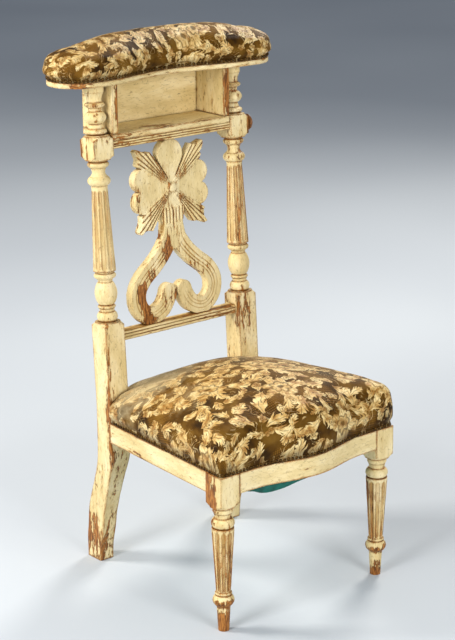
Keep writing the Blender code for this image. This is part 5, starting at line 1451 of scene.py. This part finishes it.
# Heavier wear of the paint: centre of each place, reach in each direction, and how much more is worn there
POST_WEAR = (
    ((-POST_X - 0.02, 0.20, 0.79), (0.03, 0.04, 0.04), 0.11),
    ((-POST_X - 0.022, 0.125, 0.38), (0.014, 0.020, 0.20), 0.16),
    ((-POST_X - 0.01, 0.21, 0.02), (0.05, 0.07, 0.09), 0.13),
    ((-POST_X, 0.19, 0.88), (0.04, 0.05, 0.06), 0.08),
    ((POST_X, 0.19, 0.88), (0.04, 0.05, 0.07), 0.09),
    ((POST_X - 0.01, 0.13, 0.42), (0.03, 0.03, 0.09), 0.10),
    ((POST_X, 0.18, 0.66), (0.05, 0.08, 0.17), 0.025),
    ((-POST_X, 0.17, 0.655), (0.06, 0.08, 0.155), -0.085),
    ((POST_X + POST_HALF, 0.16, 0.80), (0.009, 0.040, 0.040), 0.24),
    ((-POST_X - 0.01, 0.20, 0.12), (0.05, 0.08, 0.15), 0.05),
)
LEG_WEAR = (
    ((-LEG_AXIS.x - 0.022, LEG_AXIS.y + 0.010, 0.265), (0.012, 0.022, 0.08), 0.20),
    ((-LEG_AXIS.x, LEG_AXIS.y, 0.15), (0.04, 0.04, 0.11), 0.025),
    ((-LEG_AXIS.x, LEG_AXIS.y, 0.054), (0.05, 0.05, 0.012), 0.17),
    ((LEG_AXIS.x, LEG_AXIS.y, 0.054), (0.05, 0.05, 0.012), 0.15),
    ((-LEG_AXIS.x, LEG_AXIS.y, 0.0), (0.05, 0.05, 0.060), 0.19),
    ((LEG_AXIS.x, LEG_AXIS.y, 0.0), (0.05, 0.05, 0.036), 0.17),
)
SPLAT_WEAR = (
    ((-0.020, 0.16, 0.585), (0.022, 0.04, 0.050), 0.24),
    ((-0.058, 0.16, 0.548), (0.024, 0.04, 0.034), 0.24),
    ((-0.082, 0.16, 0.520), (0.020, 0.04, 0.032), 0.25),
    ((-0.074, 0.155, 0.492), (0.018, 0.04, 0.030), 0.24),
    ((-0.070, 0.155, 0.468), (0.024, 0.04, 0.014), 0.24),
    ((-0.012, 0.155, 0.500), (0.016, 0.04, 0.030), 0.15),
    ((0.040, 0.16, 0.545), (0.050, 0.04, 0.030), 0.12),
    ((-0.083, 0.16, 0.700), (0.016, 0.04, 0.050), 0.15),
)
SHELF_WEAR = (
    ((-0.04, 0.170, 0.836), (0.11, 0.05, 0.012), 0.10),
    ((-0.12, 0.155, 0.828), (0.06, 0.02, 0.02), 0.12),
)
BOX_WEAR = (
    ((0.140, 0.155, 0.875), (0.022, 0.014, 0.10), 0.24),
    ((-0.125, 0.155, 0.875), (0.012, 0.012, 0.08), 0.15),
)
BOARD_WEAR = (
    ((-0.215, 0.150, 0.930), (0.035, 0.03, 0.02), 0.20),
    ((-0.14, 0.14, 0.930), (0.05, 0.03, 0.008), 0.08),
    ((0.20, 0.15, 0.930), (0.05, 0.03, 0.010), 0.08),
)
REED_WEAR = (((-0.06, 0.170, 0.806), (0.15, 0.02, 0.012), 0.03),)
PAINTED = {
    "distempered post": {"wear": 0.022, "edges": 1.3, "places": POST_WEAR, "cleared": 0.012, "dirt_and_shade_amount": 0.50},
    "distempered leg": {"wear": 0.018, "places": LEG_WEAR, "cleared": 0.040},
    "distempered seat rail": {"grain": "X", "wear": -0.012, "edges": 1.15},
    "distempered side rail": {"grain": "Y", "wear": -0.008, "edges": 1.15},
    # Reeded rails: more wear and ochre, real dirt and painted shade under the shelf
    "distempered reeded rail": {"grain": "X", "wear": 0.040, "edges": 0.5, "places": REED_WEAR,
                                "rounding": 0.003, "cleared": 0.05, "dirt_and_shade_amount": 1.0},
    "distempered shelf": {"grain": "X", "wear": 0.012, "places": SHELF_WEAR},
    "distempered panel": {"grain": "X", "wear": -0.075, "edges": 0.5},
    # Box sides worn more all over: real wear, and painted shade on their inner faces
    "distempered box side": {"wear": 0.025, "places": BOX_WEAR},
    "distempered arm board": {"grain": "X", "wear": -0.003, "edges": 1.1, "places": BOARD_WEAR},
    "distempered splat": {"wear": 0.004, "edges": 0.85, "places": SPLAT_WEAR, "rounding": 0.0028,
                          "cleared": 0.045},
}
# Painted sheen on the seat's nap, pale at its back left where it catches the light: centre, reach and
# strength
PAINTED_SHEEN_ON_NAP = (
    ((-0.115, 0.085, 0.365), (0.125, 0.095, 0.10), 0.62),
    ((-0.120, -0.060, 0.350), (0.070, 0.080, 0.06), 0.42),
    ((-0.010, 0.135, 0.375), (0.150, 0.060, 0.08), 0.45),
)

# Lights: name, place, width in metres, power in watts, colour; all aim at the chair's middle
LIGHTS = (
    ("back_left", (-2.2, 1.9, 2.6), 0.9, 92, "#fff6e8"),
    ("back_right", (2.5, 1.2, 2.6), 0.9, 70, "#fff6e8"),
    ("front", (-0.3, -3.4, 1.6), 1.3, 71, "#fffaf2"),
    ("left", (-3.1, -0.6, 1.9), 1.1, 76, "#fffaf2"),
)
LIGHT_AIM = Vector((0, 0, 0.5))
# Camera fitted to the photo: place in metres; turn, tilt and roll in degrees; lens in millimetres
CAMERA_PLACE = (-2.1854, -2.6373, 1.5209)
CAMERA_TURNS = ((-39.623, "Z"), (90 - 16.782, "X"), (-0.450, "Z"))
CAMERA_LENS = 109.9


# Sizes and colours that a user would change

def length(name, default, text, low=0.0, high=1.0):
    return bpy.props.FloatProperty(name=name, description=text, default=default, min=low, max=high,
                                   unit="LENGTH", subtype="DISTANCE", precision=4)


def hex_colour(name, default, text):
    return bpy.props.StringProperty(name=name, description=text + ", as an sRGB hex value", default=default)


class PrieDieuSizes(bpy.types.PropertyGroup):
    flute_width: length("Flute width", 0.0076, "Width of a flute where the shaft is thickest")
    flute_depth: length("Flute depth", 0.0021, "Depth of a flute in the shaft")
    carving_pitch: length("Carving pitch", 0.0010, "Distance between points of the carved splat")
    seat_crown: length("Seat crown", 0.047, "Rise of the seat's middle over its edges")
    seat_swell: length("Seat swell", 0.007, "How far the seat's cover may swell")
    pad_crown: length("Pad crown", 0.037, "Rise of the arm pad's middle over its edges")
    pad_swell: length("Pad swell", 0.004, "How far the arm pad's cover may swell")
    seat_nail_pitch: length("Seat nail pitch", 0.0078, "Distance between nails round the seat")
    pad_nail_pitch: length("Pad nail pitch", 0.0078, "Distance between nails round the arm pad")


class PrieDieuColours(bpy.types.PropertyGroup):
    cream: hex_colour("Cream", "#e5d19c", "Paint")
    cream_light: hex_colour("Light cream", "#efdfb2", "Paint where it is rubbed clean")
    cream_dark: hex_colour("Dark cream", "#d6c088", "Paint where it is dull")
    yellowed: hex_colour("Yellowed", "#cfa55c", "Paint where it is thin")
    # Ochre: dirt and painted shade in the flutes and carving
    ochre: hex_colour("Ochre", "#aa7f3a", "Dirt over paint in flutes and carving")
    # Grime: dirt in cracks and joints, and painted shade in corners and coves
    grime_and_shade: hex_colour("Grime", "#6e4f28", "Dirt in cracks")
    wood: hex_colour("Wood", "#8a5420", "Bare stained wood")
    wood_light: hex_colour("Light wood", "#b27838", "Bare wood, light grain")
    wood_dark: hex_colour("Dark wood", "#4a2c12", "Bare wood, dark grain")
    ground: hex_colour("Ground", "#573907", "Brocade ground")
    # Dark ground: dark parts of the ground, and the painted shade along the nailed edges
    ground_dark: hex_colour("Dark ground", "#301d03", "Brocade ground, dark parts")
    ground_gold: hex_colour("Golden ground", "#74541c", "Brocade ground, golden parts")
    figure: hex_colour("Figure", "#d4b06a", "Brocade leaves and petals")
    figure_light: hex_colour("Light figure", "#f0d89c", "Brocade flowers")
    figure_gold: hex_colour("Golden figure", "#a3732a", "Brocade leaf edges")
    # Painted sheen: the pale colour of the nap where it catches the light
    rubbed_and_sheen: hex_colour("Rubbed nap", "#cbbb92", "Brocade where the nap is rubbed pale")
    bronze: hex_colour("Bronze", "#6b4f28", "Nail heads")
    bronze_dark: hex_colour("Dark bronze", "#2a1c12", "Nail heads, tarnished")
    cambric: hex_colour("Cambric", "#0f6e62", "Dust cover")
    cambric_dark: hex_colour("Dark cambric", "#06473f", "Dust cover in its folds")


def settings():
    return bpy.context.scene.prie_dieu_sizes, bpy.context.scene.prie_dieu_colours


def finish_of(name):
    """The named finish, made once and shared by the pieces that have it."""
    made = bpy.data.materials.get(name)
    if made:
        return made
    colours = settings()[1]
    if name in PAINTED:
        return painted_wood(name, colours, **PAINTED[name])
    makers = {
        "waxed walnut": lambda: bare_walnut(name, colours),
        "silk and wool brocade": lambda: brocade(name, colours, NAIL_LINE, 0.20, sheen_places=PAINTED_SHEEN_ON_NAP),
        "silk and wool brocade of the pad": lambda: brocade(name, colours, BOARD_EDGE, 0.05, fine=1.32),
        "bronzed steel": lambda: worn_steel(name, colours.bronze_dark, colours.bronze, 300, 0.34),
        "green cambric": lambda: woven_cloth(name, colours.cambric_dark, colours.cambric, 0.0012),
        "jute webbing": lambda: woven_cloth(name, "#6a5433", "#b39b6c", 0.0022),
        "drawn steel": lambda: worn_steel(name, "#5a4636", "#a08a76", 180, 0.30),
    }
    return makers[name]()


class PieceMaker:
    """What every operator of this add-on shares."""
    bl_options = {"REGISTER", "UNDO"}

    def finished(self, *pieces):
        for item in pieces:
            if item is None or not len(item.data.vertices):
                raise RuntimeError(self.bl_label + " made an empty piece")
        return {"FINISHED"}


class PRIEDIEU_OT_stage(PieceMaker, bpy.types.Operator):
    """Sets the pale floor, the soft lights and the camera"""
    bl_idname = "prie_dieu.stage"
    bl_label = "Stage"

    def execute(self, context):
        scene = context.scene
        world = bpy.data.worlds.new("studio")
        world.use_nodes = True
        background = world.node_tree.nodes["Background"]
        background.inputs[0].default_value = linear("#e6ebf2")
        background.inputs[1].default_value = 0.26
        scene.world = world
        scene.view_settings.view_transform = "Standard"
        turns = np.linspace(0, 2 * math.pi, 64, endpoint=False)
        rings = [[(reach * math.cos(turn), reach * math.sin(turn), -0.0004) for turn in turns]
                 for reach in (30.0, 9.0, 2.5, 0.4)]
        floor = loft("studio_floor", rings, cap_first=False)
        # Seamless background paper, matt, with a faint broad unevenness
        finish, tree, shader = blank("studio paper", Roughness=0.75)
        place = add(tree, "TexCoord", give="Object")
        tone = add(tree, "TexNoise", {"Vector": place, "Scale": 0.8, "Detail": 1})
        coat(tree, shader, colour=add(tree, "ValToRGB", (tone,), ((0.3, "#c3cdda"), (0.7, "#ced8e4"))))
        floor.data.materials.append(finish)
        for name, place, wide, power, colour in LIGHTS:
            data = bpy.data.lights.new(name, "AREA")
            data.shape = "SQUARE"
            data.size = wide
            data.energy = power
            data.color = linear(colour)[:3]
            lamp = bpy.data.objects.new(name, data)
            scene.collection.objects.link(lamp)
            turn = (LIGHT_AIM - Vector(place)).to_track_quat("-Z", "Y").to_matrix().to_4x4()
            lamp.matrix_world = Matrix.Translation(place) @ turn
        lens = bpy.data.cameras.new("camera")
        lens.lens = CAMERA_LENS
        lens.sensor_width = 36
        lens.clip_end = 100
        camera = bpy.data.objects.new("camera", lens)
        scene.collection.objects.link(camera)
        camera.matrix_world = Matrix.Translation(CAMERA_PLACE)
        for degrees, axis in CAMERA_TURNS:
            camera.matrix_world = camera.matrix_world @ Matrix.Rotation(math.radians(degrees), 4, axis)
        scene.camera = camera
        return {"FINISHED"}


class PRIEDIEU_OT_joinery(PieceMaker, bpy.types.Operator):
    """Gives the rails, the box and the braces of the frame their paint and wood"""
    bl_idname = "prie_dieu.joinery"
    bl_label = "Joinery"

    def execute(self, context):
        finishes = {"shelf_board": "distempered shelf", "box_back_panel": "distempered panel"}
        for end in ("front", "back"):
            finishes["seat_rail_" + end] = "distempered seat rail"
            for side in ("left", "right"):
                finishes["seat_rail_" + side] = "distempered side rail"
                finishes["box_side_" + side] = "distempered box side"
                finishes["corner_brace_" + end + "_" + side] = "waxed walnut"
        for number in range(1, 6):
            finishes["seat_spring_" + str(number)] = "drawn steel"
        for number in range(1, 4):
            finishes["webbing_lengthwise_" + str(number)] = "jute webbing"
            finishes["webbing_crosswise_" + str(number)] = "jute webbing"
        for node, finish in finishes.items():
            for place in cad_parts[node].material_slots:
                place.material = finish_of(finish)
        board = arm_board("arm_board_moulded")
        show(board, finish_of("distempered arm board"))
        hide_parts("arm_board")
        rails = []
        for node in ("lower_back_rail", "shelf_rail"):
            rail = show(reeded_rail(node), finish_of("distempered reeded rail"))
            rail.name = node + "_reeded"
            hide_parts(node)
            rails.append(rail)
        boss = show(side_boss("turned_boss"), finish_of("waxed walnut"))
        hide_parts("side_boss")
        return self.finished(board, boss, *rails)


class PRIEDIEU_OT_turned_work(PieceMaker, bpy.types.Operator):
    """Turns and flutes the two front legs and the two rear posts"""
    bl_idname = "prie_dieu.turned_work"
    bl_label = "Turned legs and posts"

    def execute(self, context):
        size = settings()[0]
        made = []
        for side, word in ((-1, "left"), (1, "right")):
            leg = front_leg("fluted_leg_" + word, side, size)
            show(leg, finish_of("distempered leg"))
            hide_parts("front_leg_" + word)
            post = rear_post("fluted_post_" + word, side, size)
            show(post, finish_of("distempered post"))
            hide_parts("rear_post_" + word)
            made += [leg, post]
        return self.finished(*made)


class PRIEDIEU_OT_splat(PieceMaker, bpy.types.Operator):
    """Carves the pierced splat with its petals, rays, stem and scrolls"""
    bl_idname = "prie_dieu.splat"
    bl_label = "Carved splat"

    def execute(self, context):
        item = carved_splat("carved_splat", settings()[0])
        show(item, finish_of("distempered splat"))
        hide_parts("splat")
        return self.finished(item)


class PRIEDIEU_OT_seat(PieceMaker, bpy.types.Operator):
    """Stuffs and covers the crowned seat"""
    bl_idname = "prie_dieu.seat"
    bl_label = "Seat"

    def execute(self, context):
        item = seat_cushion("stuffed_seat", settings()[0])
        show(item, finish_of("silk and wool brocade"))
        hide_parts("seat_cover", "seat_stuffing", "seat_hessian")
        return self.finished(item)


class PRIEDIEU_OT_arm_pad(PieceMaker, bpy.types.Operator):
    """Stuffs and covers the pad on the arm board"""
    bl_idname = "prie_dieu.arm_pad"
    bl_label = "Arm pad"

    def execute(self, context):
        item = arm_pad("stuffed_arm_pad", settings()[0])
        show(item, finish_of("silk and wool brocade of the pad"))
        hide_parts("pad_cover", "pad_stuffing")
        return self.finished(item)


class PRIEDIEU_OT_nails(PieceMaker, bpy.types.Operator):
    """Drives the close rows of nails round the seat and the pad"""
    bl_idname = "prie_dieu.nails"
    bl_label = "Nails"

    def execute(self, context):
        size = settings()[0]
        made = []
        for name, spots in (("seat_nails", seat_nail_spots(size)), ("pad_nails", pad_nail_spots(size))):
            made.append(show(nails(name, spots), finish_of("bronzed steel")))
        return self.finished(*made)


class PRIEDIEU_OT_dust_cover(PieceMaker, bpy.types.Operator):
    """Tacks the sagging dust cover under the seat"""
    bl_idname = "prie_dieu.dust_cover"
    bl_label = "Dust cover"

    def execute(self, context):
        item, area = dust_cover("sagging_dust_cover")
        show(item, finish_of("green cambric"))
        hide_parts("dust_cover")
        min(area, 0.415 * 0.430)
        return self.finished(item)


class PRIEDIEU_PT_panel(bpy.types.Panel):
    """Lists the pieces of the prie dieu chair"""
    bl_label = "Prie Dieu Chair"
    bl_idname = "PRIEDIEU_PT_panel"
    bl_space_type = "VIEW_3D"
    bl_region_type = "UI"
    bl_category = "Prie Dieu"

    def draw(self, context):
        for operator in OPERATORS:
            self.layout.operator(operator.bl_idname, text=operator.bl_label)
        for group in (context.scene.prie_dieu_sizes, context.scene.prie_dieu_colours):
            box = self.layout.box()
            for name in group.__annotations__:
                box.prop(group, name)


OPERATORS = (PRIEDIEU_OT_stage, PRIEDIEU_OT_joinery, PRIEDIEU_OT_turned_work, PRIEDIEU_OT_splat,
             PRIEDIEU_OT_seat, PRIEDIEU_OT_arm_pad, PRIEDIEU_OT_nails, PRIEDIEU_OT_dust_cover)
CLASSES = (PrieDieuSizes, PrieDieuColours) + OPERATORS + (PRIEDIEU_PT_panel,)


def register():
    for kind in CLASSES:
        bpy.utils.register_class(kind)
    bpy.types.Scene.prie_dieu_sizes = bpy.props.PointerProperty(type=PrieDieuSizes)
    bpy.types.Scene.prie_dieu_colours = bpy.props.PointerProperty(type=PrieDieuColours)


def unregister():
    del bpy.types.Scene.prie_dieu_sizes
    del bpy.types.Scene.prie_dieu_colours
    for kind in reversed(CLASSES):
        bpy.utils.unregister_class(kind)


def main():
    register()
    for operator in OPERATORS:
        family, name = operator.bl_idname.split(".")
        getattr(getattr(bpy.ops, family), name)()


if __name__ == "__main__":
    main()
